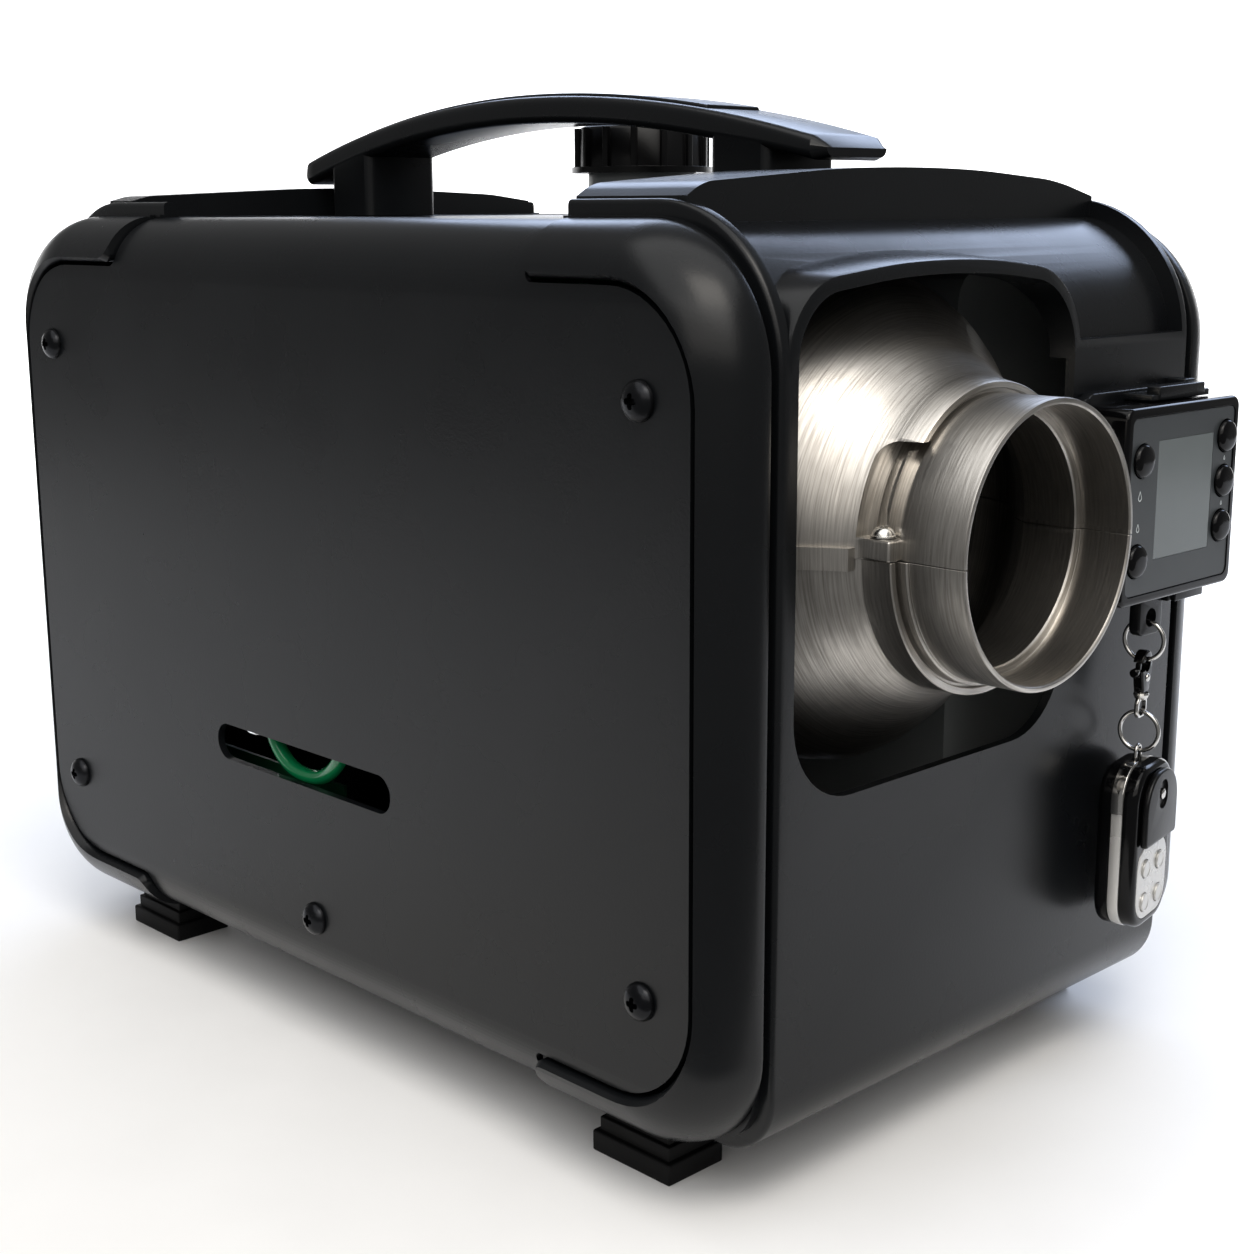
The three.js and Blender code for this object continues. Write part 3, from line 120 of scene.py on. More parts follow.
def makeStudio():
    world = bpy.data.worlds.new("room")
    world.use_nodes = True
    background = world.node_tree.nodes["Background"].inputs
    background["Color"].default_value = (1, 1, 1, 1)
    background["Strength"].default_value = studio["room"]
    bpy.context.scene.world = world
    bpy.context.scene.view_settings.view_transform = "Standard"
    for k, box in enumerate(studio["boxes"]):
        light = bpy.data.lights.new(f"softbox{k}", "AREA")
        light.shape = "RECTANGLE"
        light.size, light.size_y = box["size"]
        light.energy = box["power"]
        light.color = hexColour(box["colour"])[:3]
        lamp = newObject(f"softbox{k}", light)
        lamp.location = box["at"]
        aim = Vector(studio["aim"]) - lamp.location
        lamp.rotation_euler = aim.to_track_quat("-Z", "Y").to_euler()


makeStudio()
print("stage: camera and light")

# ---- materials ----


def addNode(tree, kind, inputs=None, **settings):
    node = tree.nodes.new("ShaderNode" + kind)
    for key, value in settings.items():
        setattr(node, key, value)
    for key, value in (inputs or {}).items():
        if isinstance(value, bpy.types.NodeSocket):
            tree.links.new(value, node.inputs[key])
        else:
            node.inputs[key].default_value = value
    return node


def calc(tree, operation, *values):
    return addNode(tree, "Math", dict(enumerate(values)), operation=operation).outputs["Value"]


def noise(tree, place, size, detail):
    # size of the pattern in mm
    inputs = {"Vector": place, "Scale": 1 / (size * mm), "Detail": detail}
    return addNode(tree, "TexNoise", inputs).outputs["Fac"]


def spread(tree, value, span, result=(0.0, 1.0)):
    inputs = {"Value": value, "From Min": span[0], "From Max": span[1],
              "To Min": result[0], "To Max": result[1]}
    return addNode(tree, "MapRange", inputs).outputs["Result"]


def newMaterial(name, colour, roughness, sockets):
    material = bpy.data.materials.new(name)
    material.use_nodes = True
    shader = material.node_tree.nodes["Principled BSDF"]
    shader.inputs["Base Color"].default_value = hexColour(colour)
    shader.inputs["Roughness"].default_value = roughness
    for socket, value in sockets.items():
        shader.inputs[socket].default_value = value
    return material, material.node_tree, shader


def objectPlace(tree, centre=(0, 0, 0)):
    coords = addNode(tree, "TexCoord").outputs["Object"]
    shift = [-c * mm for c in centre]
    return addNode(tree, "Mapping", {"Vector": coords, "Location": shift}).outputs["Vector"]


def dress(tree, shader, shade, factor, height, strength, depth, roughness):
    # two mixed colours, a bump with its depth in mm, and a drifting roughness
    tint = addNode(tree, "Mix", {"Factor": factor}, data_type="RGBA")
    tint.inputs["A"].default_value = hexColour(shade[0])
    tint.inputs["B"].default_value = hexColour(shade[1])
    bump = addNode(tree, "Bump", {"Height": height, "Strength": strength, "Distance": depth * mm})
    tree.links.new(tint.outputs["Result"], shader.inputs["Base Color"])
    tree.links.new(bump.outputs["Normal"], shader.inputs["Normal"])
    tree.links.new(roughness, shader.inputs["Roughness"])


def grain(tree, shader, size, depth, gloss, shade):
    # moulded skin: fine grain in the bump, broad drift in gloss and colour
    place = objectPlace(tree)
    fine, broad = noise(tree, place, size, 2.0), noise(tree, place, 45, 4.0)
    dress(tree, shader, shade, broad, fine, 0.5, depth, spread(tree, broad, (0.3, 0.7), gloss))


def plastic(name, size, depth, gloss, shade, sockets=None):
    # grain size and depth in mm, roughness range, colour range, and other shader sockets
    material, tree, shader = newMaterial(name, shade[0], gloss[0], sockets or {})
    grain(tree, shader, size, depth, gloss, shade)
    return material


def brushed(name, colour, dark, centre, gloss, line=0.9, run=26):
    # metal spun and brushed round the X axis: hair lines follow the circle, so the shine fans out;
    # width of a line in mm, and how many times longer its pattern runs
    material, tree, shader = newMaterial(name, colour, gloss[0], metal)
    place = objectPlace(tree, centre)
    parts = addNode(tree, "SeparateXYZ", {"Vector": place})
    x, y, z = (parts.outputs[key] for key in "XYZ")
    angle = calc(tree, "ARCTAN2", z, calc(tree, "MULTIPLY", y, -1.0))
    side = addNode(tree, "CombineXYZ", {"Y": y, "Z": z}).outputs["Vector"]
    radius = addNode(tree, "VectorMath", {0: side}, operation="LENGTH").outputs["Value"]
    along = calc(tree, "MULTIPLY", angle, 70 * mm)
    short = calc(tree, "MULTIPLY", along, line / run)
    across = calc(tree, "SUBTRACT", x, radius)
    hair = addNode(tree, "CombineXYZ", {"X": short, "Y": across}).outputs["Vector"]
    lines = noise(tree, hair, line, 5.0)
    cloud = noise(tree, place, 28, 3.0)
    mixed = calc(tree, "MULTIPLY_ADD", cloud, 0.4, calc(tree, "MULTIPLY", lines, 0.6))
    span = (0.35, 0.65)
    gloss = spread(tree, mixed, span, (gloss[1], gloss[0]))
    dress(tree, shader, (dark, colour), spread(tree, mixed, span), lines, 0.55, 0.12, gloss)
    return material


metal = {"Metallic": 1.0}

# injection-moulded ABS with a fine eroded skin: dark, soft wide highlights
mouldedAbs = plastic(
    "mouldedAbs", 1.1, 0.05, (0.25, 0.31), ("#0b0c0e", "#0f1113"),
    {"Specular IOR Level": 0.27})
# same plastic from a polished mould: controller frame, clasp and remote
polishedAbs = plastic(
    "polishedAbs", 3.0, 0.01, (0.08, 0.12), ("#040405", "#070708"),
    {"Specular IOR Level": 0.2})
# polypropylene screw cap, a little shinier than the case
mouldedPolypropylene = plastic(
    "mouldedPolypropylene", 2.0, 0.03, (0.26, 0.34), ("#040405", "#060607"),
    {"Specular IOR Level": 0.25})
# printed polycarbonate face of the controller: charcoal, satin
printedPolycarbonate = plastic(
    "printedPolycarbonate", 2.5, 0.01, (0.3, 0.36), ("#2a2e30", "#303436"))
# moulded rubber feet: black and dull
mouldedRubber = plastic(
    "mouldedRubber", 1.0, 0.06, (0.5, 0.65), ("#050505", "#080809"),
    {"Specular IOR Level": 0.15})
# blow-moulded polyethylene tank: milky grey
blownPolyethylene = plastic(
    "blownPolyethylene", 2.0, 0.05, (0.4, 0.5), ("#8b8f90", "#9ca1a2"))
# extruded polyurethane fuel hose: clear green, glossy
extrudedHose = plastic(
    "extrudedHose", 3.0, 0.01, (0.2, 0.28), ("#0c7a48", "#129157"), {"Coat Weight": 0.5})
# lacquered circuit board
lacqueredBoard = plastic("lacqueredBoard", 2.0, 0.02, (0.3, 0.4), ("#164a30", "#1c5a3a"))
# clear filter bowl
mouldedAcrylic = plastic(
    "mouldedAcrylic", 3.0, 0.01, (0.08, 0.12), ("#9fb6e0", "#b9cbea"),
    {"Transmission Weight": 0.6})
# unlit display glass: flat grey-green behind a glossy window
displayGlass = plastic("displayGlass", 4.0, 0.0, (0.12, 0.16), ("#626869", "#6b7172"))
# white ink marks
screenInk = plastic("screenInk", 2.0, 0.0, (0.4, 0.5), ("#c9cfd0", "#d5dbdc"))
# blackened steel screws
blackenedSteel = plastic(
    "blackenedSteel", 1.0, 0.02, (0.22, 0.32), ("#1a1b1d", "#232427"), {"Metallic": 0.85})
# cast aluminium, brushed round the outlet's axis after casting
brushedAluminium = brushed(
    "brushedAluminium", "#c9c5bf", "#8f8b85", (208, -30, 211), (0.3, 0.42))
# cast aluminium left as it came from the mould
castAluminium = plastic(
    "castAluminium", 1.6, 0.12, (0.42, 0.55), ("#9a9792", "#b1aea9"), metal)
# nickel-plated steel wire and fittings
nickelPlate = plastic("nickelPlate", 4.0, 0.01, (0.1, 0.18), ("#c3c1bd", "#d2d0cc"), metal)
# zinc-plated screw
zincPlate = plastic("zincPlate", 2.0, 0.02, (0.16, 0.26), ("#c9c7c2", "#dad8d3"), metal)
# stainless steel tube
drawnStainless = plastic("drawnStainless", 2.0, 0.03, (0.25, 0.36), ("#a7a5a2", "#bab8b5"), metal)
# metallised plastic band and button plate of the remote
metallisedPlastic = plastic(
    "metallisedPlastic", 1.2, 0.02, (0.24, 0.32), ("#c4c3c0", "#d2d1ce"),
    {"Metallic": 0.55})


def paintedFloor():
    # pale floor with a painted glow that rises from none near the product to full far behind it, so that no
    # horizon shows
    sockets = {"Emission Color": hexColour("#ffffff")}
    material, tree, shader = newMaterial("floorPaint", "#f2f2f2", 0.6, sockets)
    grain(tree, shader, 6.0, 0.01, (0.6, 0.7), ("#f2f2f2", "#f6f6f6"))
    inputs = {"Vector": addNode(tree, "TexCoord").outputs["Object"],
              "Rotation": (0, 0, -math.radians(shot["azimuth"]))}
    parts = addNode(tree, "SeparateXYZ", {"Vector": addNode(tree, "Mapping", inputs).outputs["Vector"]})
    # painted glow: the emission grows with distance behind the product and leaves the shade near it
    glow = spread(tree, parts.outputs["Y"], studio["glowFrom"], (0.0, studio["floorGlow"]))
    tree.links.new(glow, shader.inputs["Emission Strength"])
    return material


floorPaint = paintedFloor()
# lit paper behind it
paperGlow = {"Emission Color": hexColour("#ffffff"), "Emission Strength": studio["backdropGlow"]}
backdropPaper = plastic("backdropPaper", 6.0, 0.01, (0.8, 0.9), ("#f2f2f2", "#f6f6f6"), paperGlow)

print("stage: materials")

# ---- modelling helpers ----


def quarterTurn(steps):
    return [math.pi / 2 * k / steps for k in range(steps + 1)]


def planePoint(axis, u, v, level):
    return {"X": (level, u, v), "Y": (u, level, v), "Z": (u, v, level)}[axis]


def outlineFace(bm, outline, axis, level, steps):
    # a flat face from a few corners (u, v, radius), each corner rounded by a vertex bevel
    before = set(bm.faces)
    verts = [bm.verts.new(planePoint(axis, u, v, level)) for u, v, r in outline]
    bm.faces.new(verts)
    points = [Vector((u, v)) for u, v, r in outline]
    for k, (u, v, r) in enumerate(outline):
        if r <= 0:
            continue
        into = points[k] - points[k - 1]
        outOf = points[(k + 1) % len(points)] - points[k]
        reach = r * math.tan(into.angle(outOf) / 2)
        bmesh.ops.bevel(bm, geom=[verts[k]], offset=reach, offset_type="OFFSET", segments=steps,
                        profile=0.5, affect="VERTICES", clamp_overlap=False, material=-1)
    return [f for f in bm.faces if f not in before][0]


def rect(u0, u1, v0, v1, r=0.0):
    return [(u0, v0, r), (u1, v0, r), (u1, v1, r), (u0, v1, r)]


def solid(bm):
    bmesh.ops.recalc_face_normals(bm, faces=bm.faces)
    mesh = bpy.data.meshes.new("work")
    bm.to_mesh(mesh)
    bm.free()
    return newObject("work", mesh)


def roundEnds(bm, axis, low, high, size, steps):
    k = "XYZ".index(axis)
    flat = [e for e in bm.edges if all(abs(v.co[k] - e.verts[0].co[k]) < 1e-5 for v in e.verts)
            and (abs(e.verts[0].co[k] - low) < 1e-5 or abs(e.verts[0].co[k] - high) < 1e-5)]
    bmesh.ops.bevel(bm, geom=flat, offset=size, offset_type="OFFSET", segments=steps, profile=0.5,
                    affect="EDGES", clamp_overlap=True, material=-1)


def prism(outline, axis, low, high, steps=8, soft=0.0, softSteps=3):
    bm = bmesh.new()
    face = outlineFace(bm, outline, axis, low, steps)
    made = bmesh.ops.extrude_face_region(bm, geom=[face])
    lid = [item for item in made["geom"] if isinstance(item, bmesh.types.BMVert)]
    bmesh.ops.translate(bm, verts=lid, vec=axes[axis] * (high - low))
    if soft:
        roundEnds(bm, axis, low, high, soft, softSteps)
    return solid(bm)


def block(x0, x1, y0, y1, z0, z1, soft=0.0):
    return prism(rect(x0, x1, y0, y1, soft), "Z", z0, z1, 3, soft)


def crossBars(u, v, sizes, axis, low, high, r=0.0):
    # the two bars of a cross recess, from half their length and width
    return [prism(rect(u - a, u + a, v - b, v + b, r), axis, low, high, 4) for a, b in (sizes, sizes[::-1])]


def loft(stations, axis, steps=8):
    bm = bmesh.new()
    faces = [outlineFace(bm, outline, axis, level, steps) for outline, level in stations]
    loops = [list(face.edges) for face in faces]
    bmesh.ops.delete(bm, geom=faces[1:-1], context="FACES_ONLY")
    for first, second in zip(loops, loops[1:]):
        bmesh.ops.bridge_loops(bm, edges=first + second)
    return solid(bm)


def spinRound(bm, geom, centre, axis, steps):
    bmesh.ops.spin(bm, geom=geom, cent=centre, axis=axes[axis], dvec=(0, 0, 0), angle=math.tau,
                   steps=steps, use_merge=True, use_duplicate=False)


def turned(profile, axis, centre, steps=64):
    # profile points are (distance along the axis, radius); spun once round
    bm = bmesh.new()
    side = {"X": "Z", "Y": "Z", "Z": "X"}[axis]
    verts = [bm.verts.new(Vector(centre) + axes[axis] * along + axes[side] * radius)
             for along, radius in profile]
    edges = [bm.edges.new(pair) for pair in zip(verts, verts[1:])]
    spinRound(bm, verts + edges, centre, axis, steps)
    bmesh.ops.remove_doubles(bm, verts=bm.verts, dist=1e-4)
    return solid(bm)


def rod(axis, centre, radius, low, high, steps=32):
    return turned([(low, 0), (low, radius), (high, radius), (high, 0)], axis, centre, steps)


def wireRing(centre, radius, wire, axis, steps=48, sides=14):
    # a round wire bent into a ring whose middle line goes round the axis
    bm = bmesh.new()
    out = {"X": "Y", "Y": "X", "Z": "X"}[axis]
    made = bmesh.ops.create_circle(bm, segments=sides, radius=wire)
    facing = axes[axis].cross(axes[out])
    turn = Vector((0, 0, 1)).rotation_difference(facing).to_matrix().to_4x4()
    bmesh.ops.transform(bm, matrix=Matrix.Translation(Vector(centre) + axes[out] * radius) @ turn,
                        verts=made["verts"])
    spinRound(bm, bm.verts[:] + bm.edges[:], centre, axis, steps)
    return solid(bm)


def evaluated(thing):
    graph = bpy.context.evaluated_depsgraph_get()
    return bpy.data.meshes.new_from_object(thing.evaluated_get(graph))


def pipeAlong(way, radius, rounds=6):
    # a round bar along a smooth line through the way points
    data = bpy.data.curves.new("pipeLine", "CURVE")
    data.dimensions = "3D"
    data.bevel_depth = radius
    data.bevel_resolution = rounds
    data.resolution_u = 12
    data.use_fill_caps = True
    spline = data.splines.new("BEZIER")
    spline.bezier_points.add(len(way) - 1)
    for knot, point in zip(spline.bezier_points, way):
        knot.co = point
        knot.handle_left_type = knot.handle_right_type = "AUTO"
    curve = newObject("pipeLine", data)
    bm = bmesh.new()
    bm.from_mesh(evaluated(curve))
    bpy.data.objects.remove(curve)
    bmesh.ops.remove_doubles(bm, verts=bm.verts, dist=0.001)
    return solid(bm)


def bake(thing):
    mesh = evaluated(thing)
    thing.modifiers.clear()
    thing.data = mesh


def combine(base, tools, operation):
    # the tools are used up
    for tool in tools:
        modifier = base.modifiers.new("combine", "BOOLEAN")
        modifier.object = tool
        modifier.operation = operation
        modifier.solver = "MANIFOLD"
        bake(base)
        bpy.data.objects.remove(tool)
    return base


def cutAway(base, *tools):
    return combine(base, tools, "DIFFERENCE")


def join(base, *tools):
    return combine(base, tools, "UNION")


def keepWithin(base, tool):
    return combine(base, [tool], "INTERSECT")


def copyOf(thing):
    return newObject(thing.name, thing.data.copy())


def move(thing, matrix):
    thing.data.transform(matrix)
    return thing


def mirrored(thing, axis, at=0.0, keep=True):
    twin = copyOf(thing) if keep else thing
    flip = Matrix.Scale(-1, 4, axes[axis])
    twin.data.transform(Matrix.Translation(axes[axis] * 2 * at) @ flip)
    bm = bmesh.new()
    bm.from_mesh(twin.data)
    bmesh.ops.reverse_faces(bm, faces=bm.faces)
    bm.to_mesh(twin.data)
    bm.free()
    return twin


def finishPiece(name, thing, material, body, nodes=(), edge=0.0, sharp=32):
    bm = bmesh.new()
    bm.from_mesh(thing.data)
    bmesh.ops.remove_doubles(bm, verts=bm.verts, dist=0.002)
    bmesh.ops.dissolve_degenerate(bm, edges=bm.edges, dist=0.002)
    bmesh.ops.scale(bm, vec=(mm, mm, mm), verts=bm.verts)
    for face in bm.faces:
        face.smooth = True
    bm.to_mesh(thing.data)
    bm.free()
    thing.name = name
    thing.data.name = name
    thing.data.materials.clear()
    thing.data.materials.append(material)
    thing.data.set_sharp_from_angle(angle=math.radians(sharp))
    if edge:
        modifier = thing.modifiers.new("edge", "BEVEL")
        modifier.width = edge * mm
        modifier.segments = 2
        modifier.limit_method = "ANGLE"
        modifier.angle_limit = math.radians(38)
        modifier.use_clamp_overlap = True
    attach(thing, body)
    if nodes:
        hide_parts(*nodes)
    return thing


def polished(node, material, edge=0.0, sharp=32):
    # a finer skin for a CAD node whose shape is right: merged, smooth, with softened edges
    source = frame["nodes"][node]
    thing = newObject(node + "Skin", source.data.copy())
    bm = bmesh.new()
    bm.from_mesh(thing.data)
    bmesh.ops.scale(bm, vec=(1 / mm, 1 / mm, 1 / mm), verts=bm.verts)
    bmesh.ops.remove_doubles(bm, verts=bm.verts, dist=0.01)
    bmesh.ops.dissolve_limit(bm, angle_limit=math.radians(0.5), verts=bm.verts, edges=bm.edges)
    bm.to_mesh(thing.data)
    bm.free()
    return finishPiece(node + "Skin", thing, material, source["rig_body"], [node], edge, sharp)


# ---- case ----

case = {
    "halfLength": 208, "bottom": 20, "rimTop": 315, "deckTop": 309, "coreHalf": 111.5,
    "groove": 3.5, "grooveDepth": 5, "bumperTop": 309.5, "bumperHalf": 138, "bumperRound": 24,
    "coreCorners": (50, 22), "bumperCorners": (46, 38), "recessHalf": 107, "recessDepth": 6,
    "ledge": 268, "hornEnd": 124, "wall": 3.5, "cornerSteps": 18, "bumperSteps": 14, "coreEdge": 1.8,
}
crowns = {
    "front": {"inner": 119, "outer": 167, "peak": 327, "far": (84, 321.4), "near": (-101, 319.8),
              "end": 315.8},
    "rear": {"inner": 149, "outer": 167, "peak": 321.8, "far": (84, 318.6), "near": (-100, 317.6),
             "end": 315.6},
}
panel = {
    "half": 134.4, "wall": 3, "halfLength": 194.2, "bottom": 38.7, "top": 290.3, "corner": 34,
    "seam": 1.6, "hornCorner": 3.5, "roll": ((3.4, -139), (1.8, -137), (0.7, -135.2), (0, -134)),
    "slot": (-61.7, 48.6, 102.8, 117, 7), "round": 25,
}
opening = {
    "left": -104, "right": 38, "bottom": 134, "corner": 28, "shoulder": 286.5, "peak": 294.4,
    "lip": ((7, 180), (5.6, 196), (4.4, 206.4), (4, 207.5), (3.2, 208)),     # growth, x
}
rearHoles = {"grille": (-30, 195, 67.5), "exhaust": (22, 72, 13), "intake": (-22, 72, 11)}
socketHole = (-101.6, -74.4, 63.4, 80.6, 3)


def caseOutline(inset, kind):
    top = case["rimTop"] if kind == "core" else case["bumperTop"]
    big, small = case[kind + "Corners"]
    reach = case["halfLength"] - inset
    low, high = case["bottom"] + inset, top - inset
    big, small = max(big - inset, 2), max(small - inset, 2)
    return [(reach, low, small), (reach, high, big), (-reach, high, big), (-reach, low, small)]


def caseForm():
    # flat core, dark grooves and fat rounded bumpers, as outlines that follow one another in y
    inner = case["coreHalf"] + case["groove"]
    middle = case["bumperHalf"] - case["bumperRound"]
    half = []
    for angle in quarterTurn(case["bumperSteps"]):
        y = middle + case["bumperRound"] * math.cos(angle)
        if y > inner + 0.5:
            half.append((y, "bumper", case["bumperRound"] * (1 - math.sin(angle))))
    half.append((inner + 0.4, "bumper", 0.35))
    half.append((inner, "bumper", 1.1))
    half.append((inner, "core", case["grooveDepth"]))
    half.append((case["coreHalf"], "core", case["grooveDepth"]))
    edge = case["coreEdge"]
    for angle in quarterTurn(3):
        y = case["coreHalf"] - edge * (1 - math.cos(angle))
        half.append((y, "core", edge * (1 - math.sin(angle))))
    near = [(caseOutline(inset, kind), -y) for y, kind, inset in half]
    far = [(caseOutline(inset, kind), y) for y, kind, inset in reversed(half)]
    return loft(near + far, "Y", case["cornerSteps"])


def evenLoft(outline, half, steps=8):
    return loft([(outline, -half), (outline, half)], "Y", steps)


def caseCavity():
    reach = case["recessHalf"]
    deep = case["recessDepth"] + 4
    core = evenLoft(caseOutline(deep, "core"), reach)
    low = evenLoft(caseOutline(case["wall"], "core"), reach)
    keepWithin(low, block(-300, 300, -200, 200, 0, case["ledge"] - 6))
    bumpers = evenLoft(caseOutline(17, "bumper"), panel["half"] - panel["wall"] - 0.3)
    return join(core, low, bumpers)


def panelOutline(grow):
    length, low, high = panel["halfLength"] + grow, panel["bottom"] - grow, panel["top"] + grow
    horn = case["hornEnd"] - panel["seam"] + grow
    corner, small = panel["corner"] + grow, panel["hornCorner"]
    right = [(horn, -50, 0), (horn, low, small), (length, low, corner), (length, high, corner),
             (horn, high, small), (horn, 400, 0)]
    return [(-horn, -50, 0)] + right + [(-u, v, r) for u, v, r in right[:0:-1]]


def crownArch(place):
    # nearly flat on top, with rounder shoulders, the near one fuller than the far one
    half, root, low = case["recessHalf"] + 1, case["deckTop"] - 4, place["end"]
    outline = [(-half, root, 0), (half, root, 0), (half, low, 0), (*place["far"], 120),
               (0, place["peak"], 700), (*place["near"], 18), (-half, low, 0)]
    return prism(outline, "X", place["inner"], place["outer"], 14)


def openingOutline(grow):
    left, right, low = opening["left"] - grow, opening["right"] + grow, opening["bottom"] - grow
    corner, high, peak = opening["corner"] + grow, opening["shoulder"] + grow, opening["peak"] + grow
    middle = (left + right) / 2
    return [(left, low, corner), (right, low, corner), (right, high, 26 + grow),
            (middle, peak, 320), (left, high, 20 + grow)]


def capBlank(place):
    # one end of the case, drawn at +x: the form, its crown, the sunken field and the panels' places
    far, seam = 400, panel["seam"]
    horn, half, reach = case["hornEnd"], case["coreHalf"], case["recessHalf"]
    region = join(block(horn - 5, far, -half - 2, half + 2, 0, far),
                  block(horn, far, -200, -half, 0, far), block(horn, far, half, 200, 0, far))
    form = keepWithin(caseForm(), region)
    form = join(form, crownArch(place))
    field = block(place["outer"], case["halfLength"] + 9, -reach, reach, case["ledge"], far)
    floor = evenLoft(caseOutline(case["recessDepth"], "core"), reach + 1, case["cornerSteps"])
    under = block(0, horn, -200, 200, 0, case["bottom"] + 30)
    form = cutAway(form, cutAway(field, floor), caseCavity(), under)
    if place is crowns["rear"]:
        # behind the rear crown only the near rim stands above the deck
        farRim = block(0, place["inner"], 2 - reach, half + case["groove"], case["deckTop"] + 0.3, far)
        form = cutAway(form, farRim)
    near = prism(panelOutline(seam), "Y", -200, panel["wall"] + 0.3 - panel["half"], 12)
    # the bumper's edge rolls down to the panel, so that the seam shows from the side
    near = join(near, loft([(panelOutline(seam + grow), y) for grow, y in panel["roll"]], "Y", 12))
    return cutAway(form, mirrored(near, "Y"), near)


def browLip():
    lip = loft([(openingOutline(grow), x) for grow, x in opening["lip"]], "X", 10)
    return keepWithin(lip, block(180, 209, -108.5, 60, 200, 320))


def makeCaps():
    front = capBlank(crowns["front"])
    front = join(front, cutAway(browLip(), caseCavity()))
    front = cutAway(front, prism(openingOutline(0), "X", 150, 260, 12))
    finishPiece("frontCap", front, mouldedAbs, "case", ["front_cap"], 0.7)
    rear = mirrored(capBlank(crowns["rear"]), "X", keep=False)
    out, back = -213, -188
    holes = [rod("X", (0, y, z), radius, out, back, 96 if name == "grille" else 48)
             for name, (y, z, radius) in rearHoles.items()]
    holes.append(prism(rect(*socketHole), "X", out, back))
    finishPiece("rearCap", cutAway(rear, *holes), mouldedAbs, "case", ["rear_cap"], 0.7)


makeCaps()
print("stage: end caps")


def makePanels():
    half, wall = panel["half"], panel["wall"]
    low, high = case["bottom"], case["deckTop"]
    length = panel["halfLength"] + 10
    shell = prism(rect(-half, half, low, high, panel["round"]), "X", -length, length, 24)
    inside = rect(wall - half, half - wall, low + wall, high - wall, panel["round"] - wall)
    shell = cutAway(shell, prism(inside, "X", -length - 1, length + 1, 24))
    near = keepWithin(prism(panelOutline(0), "Y", -200, -109.9, 12), shell)
    # flat behind the ends, with room at the deck's corners for the caps
    inner = wall - half
    middle = block(-length - 2, length + 2, inner, 0, 34, 294)
    ends = [block(side * 163 - 40, side * 163 + 40, inner + 0.1, 0, 0, 400) for side in (-1, 1)]
    trim = [block(side * 121 - 2.4, side * 121 + 2.4, -112.2, -100, 0, 400) for side in (-1, 1)]
    near = cutAway(near, middle, *ends, *trim)
    far = mirrored(near, "Y")
    slot = prism(rect(*panel["slot"]), "Y", -200, -100, 12)
    finishPiece("nearPanel", cutAway(near, slot), mouldedAbs, "case", ["side_panel_near"], 0.5)
    heads = [panHead(x, z) for x, z in screwPlaces]
    finishPiece("farPanel", far, mouldedAbs, "case", ["side_panel_far"], 0.5)
    for k, head in enumerate(heads):
        finishPiece(f"farScrew{k + 1}", mirrored(head, "Y"), blackenedSteel, "case", (), 0.15)
        finishPiece(f"nearScrew{k + 1}", head, blackenedSteel, "case", [f"panel_screw_{k + 1}"], 0.15)


screwPlaces = [(-173.6, 257.8), (173.6, 257.8), (-173.6, 72.2), (173.6, 72.2), (0, 52)]
screwHead = {"radius": 6.3, "height": 3.9, "socket": 4.9, "slot": 1.9, "depth": 2.4}


def panHead(x, z):
    face = -panel["half"] - 0.25
    high, wide = screwHead["height"], screwHead["radius"]
    dome = [(face - high * math.sin(t), wide * math.cos(t)) for t in quarterTurn(10)[:-1]]
    head = turned([(face, 0)] + dome + [(face - high, 0)], "Y", (x, 0, z), 48)
    head = join(head, rod("Y", (x, 0, z), 2.7, face - 0.5, face + 9, 20))
    sizes = screwHead["socket"] / 2, screwHead["slot"] / 2
    return cutAway(head, *crossBars(x, z, sizes, "Y", -150, face - high + screwHead["depth"], 0.8))


makePanels()
print("stage: side panels")


deck = {"box": (-118.3, 118.3, -109.5, 109.5, 305.5, 309), "neck": (-15.7, 54, 23.7)}
# half length, half width, bottom, top and edge of the three steps of a foot
foot = {"x": 150, "y": 103.3,
        "steps": ((18.3, 12.9, 0, 7.6, 0.9), (16.4, 11, 7, 12.5, 0.6), (15, 9.6, 12, 19.7, 0.4))}


def makeDeckAndFeet():
    neckX, neckY, neckRadius = deck["neck"]
    neckHole = rod("Z", (neckX, neckY, 0), neckRadius, 290, 320, 64)
    finishPiece("topDeck", cutAway(block(*deck["box"]), neckHole), mouldedAbs, "case", ["top_deck"], 0.5)
    for sideX, endName in ((1, "front"), (-1, "rear")):
        for sideY, sideName in ((-1, "near"), (1, "far")):
            x, y = sideX * foot["x"], sideY * foot["y"]
            steps = [block(x - long, x + long, y - wide, y + wide, low, high, edge)
                     for long, wide, low, high, edge in foot["steps"]]
            name = f"foot{endName.title()}{sideName.title()}"
            finishPiece(name, join(*steps), mouldedRubber, "case", [f"foot_{endName}_{sideName}"], 0.3)


makeDeckAndFeet()
print("stage: deck and feet")

# ---- handle ----

handle = {
    "centre": -7, "half": 150, "width": 19, "top": 354, "rearEnd": 331, "frontEnd": 334.5, "thick": 10,
    "frontThick": 7.8, "pad": (-115, 86), "leg": 18.5, "legs": ((-136, -108), (90.5, 118.5)), "steps": 60,
}


def handleTop(x):
    rise = handle["top"] - handle["frontEnd" if x > handle["centre"] else "rearEnd"]
    radius = (handle["half"] ** 2 + rise ** 2) / (2 * rise)
    return handle["top"] - radius + math.sqrt(radius ** 2 - (x - handle["centre"]) ** 2)


def archBar(x0, x1, count, width, below, above, corner):
    stations = []
    for k in range(count + 1):
        x = x0 + (x1 - x0) * k / count
        stations.append((rect(-width, width, handleTop(x) - below, handleTop(x) + above, corner), x))
    return loft(stations, "X", 5)


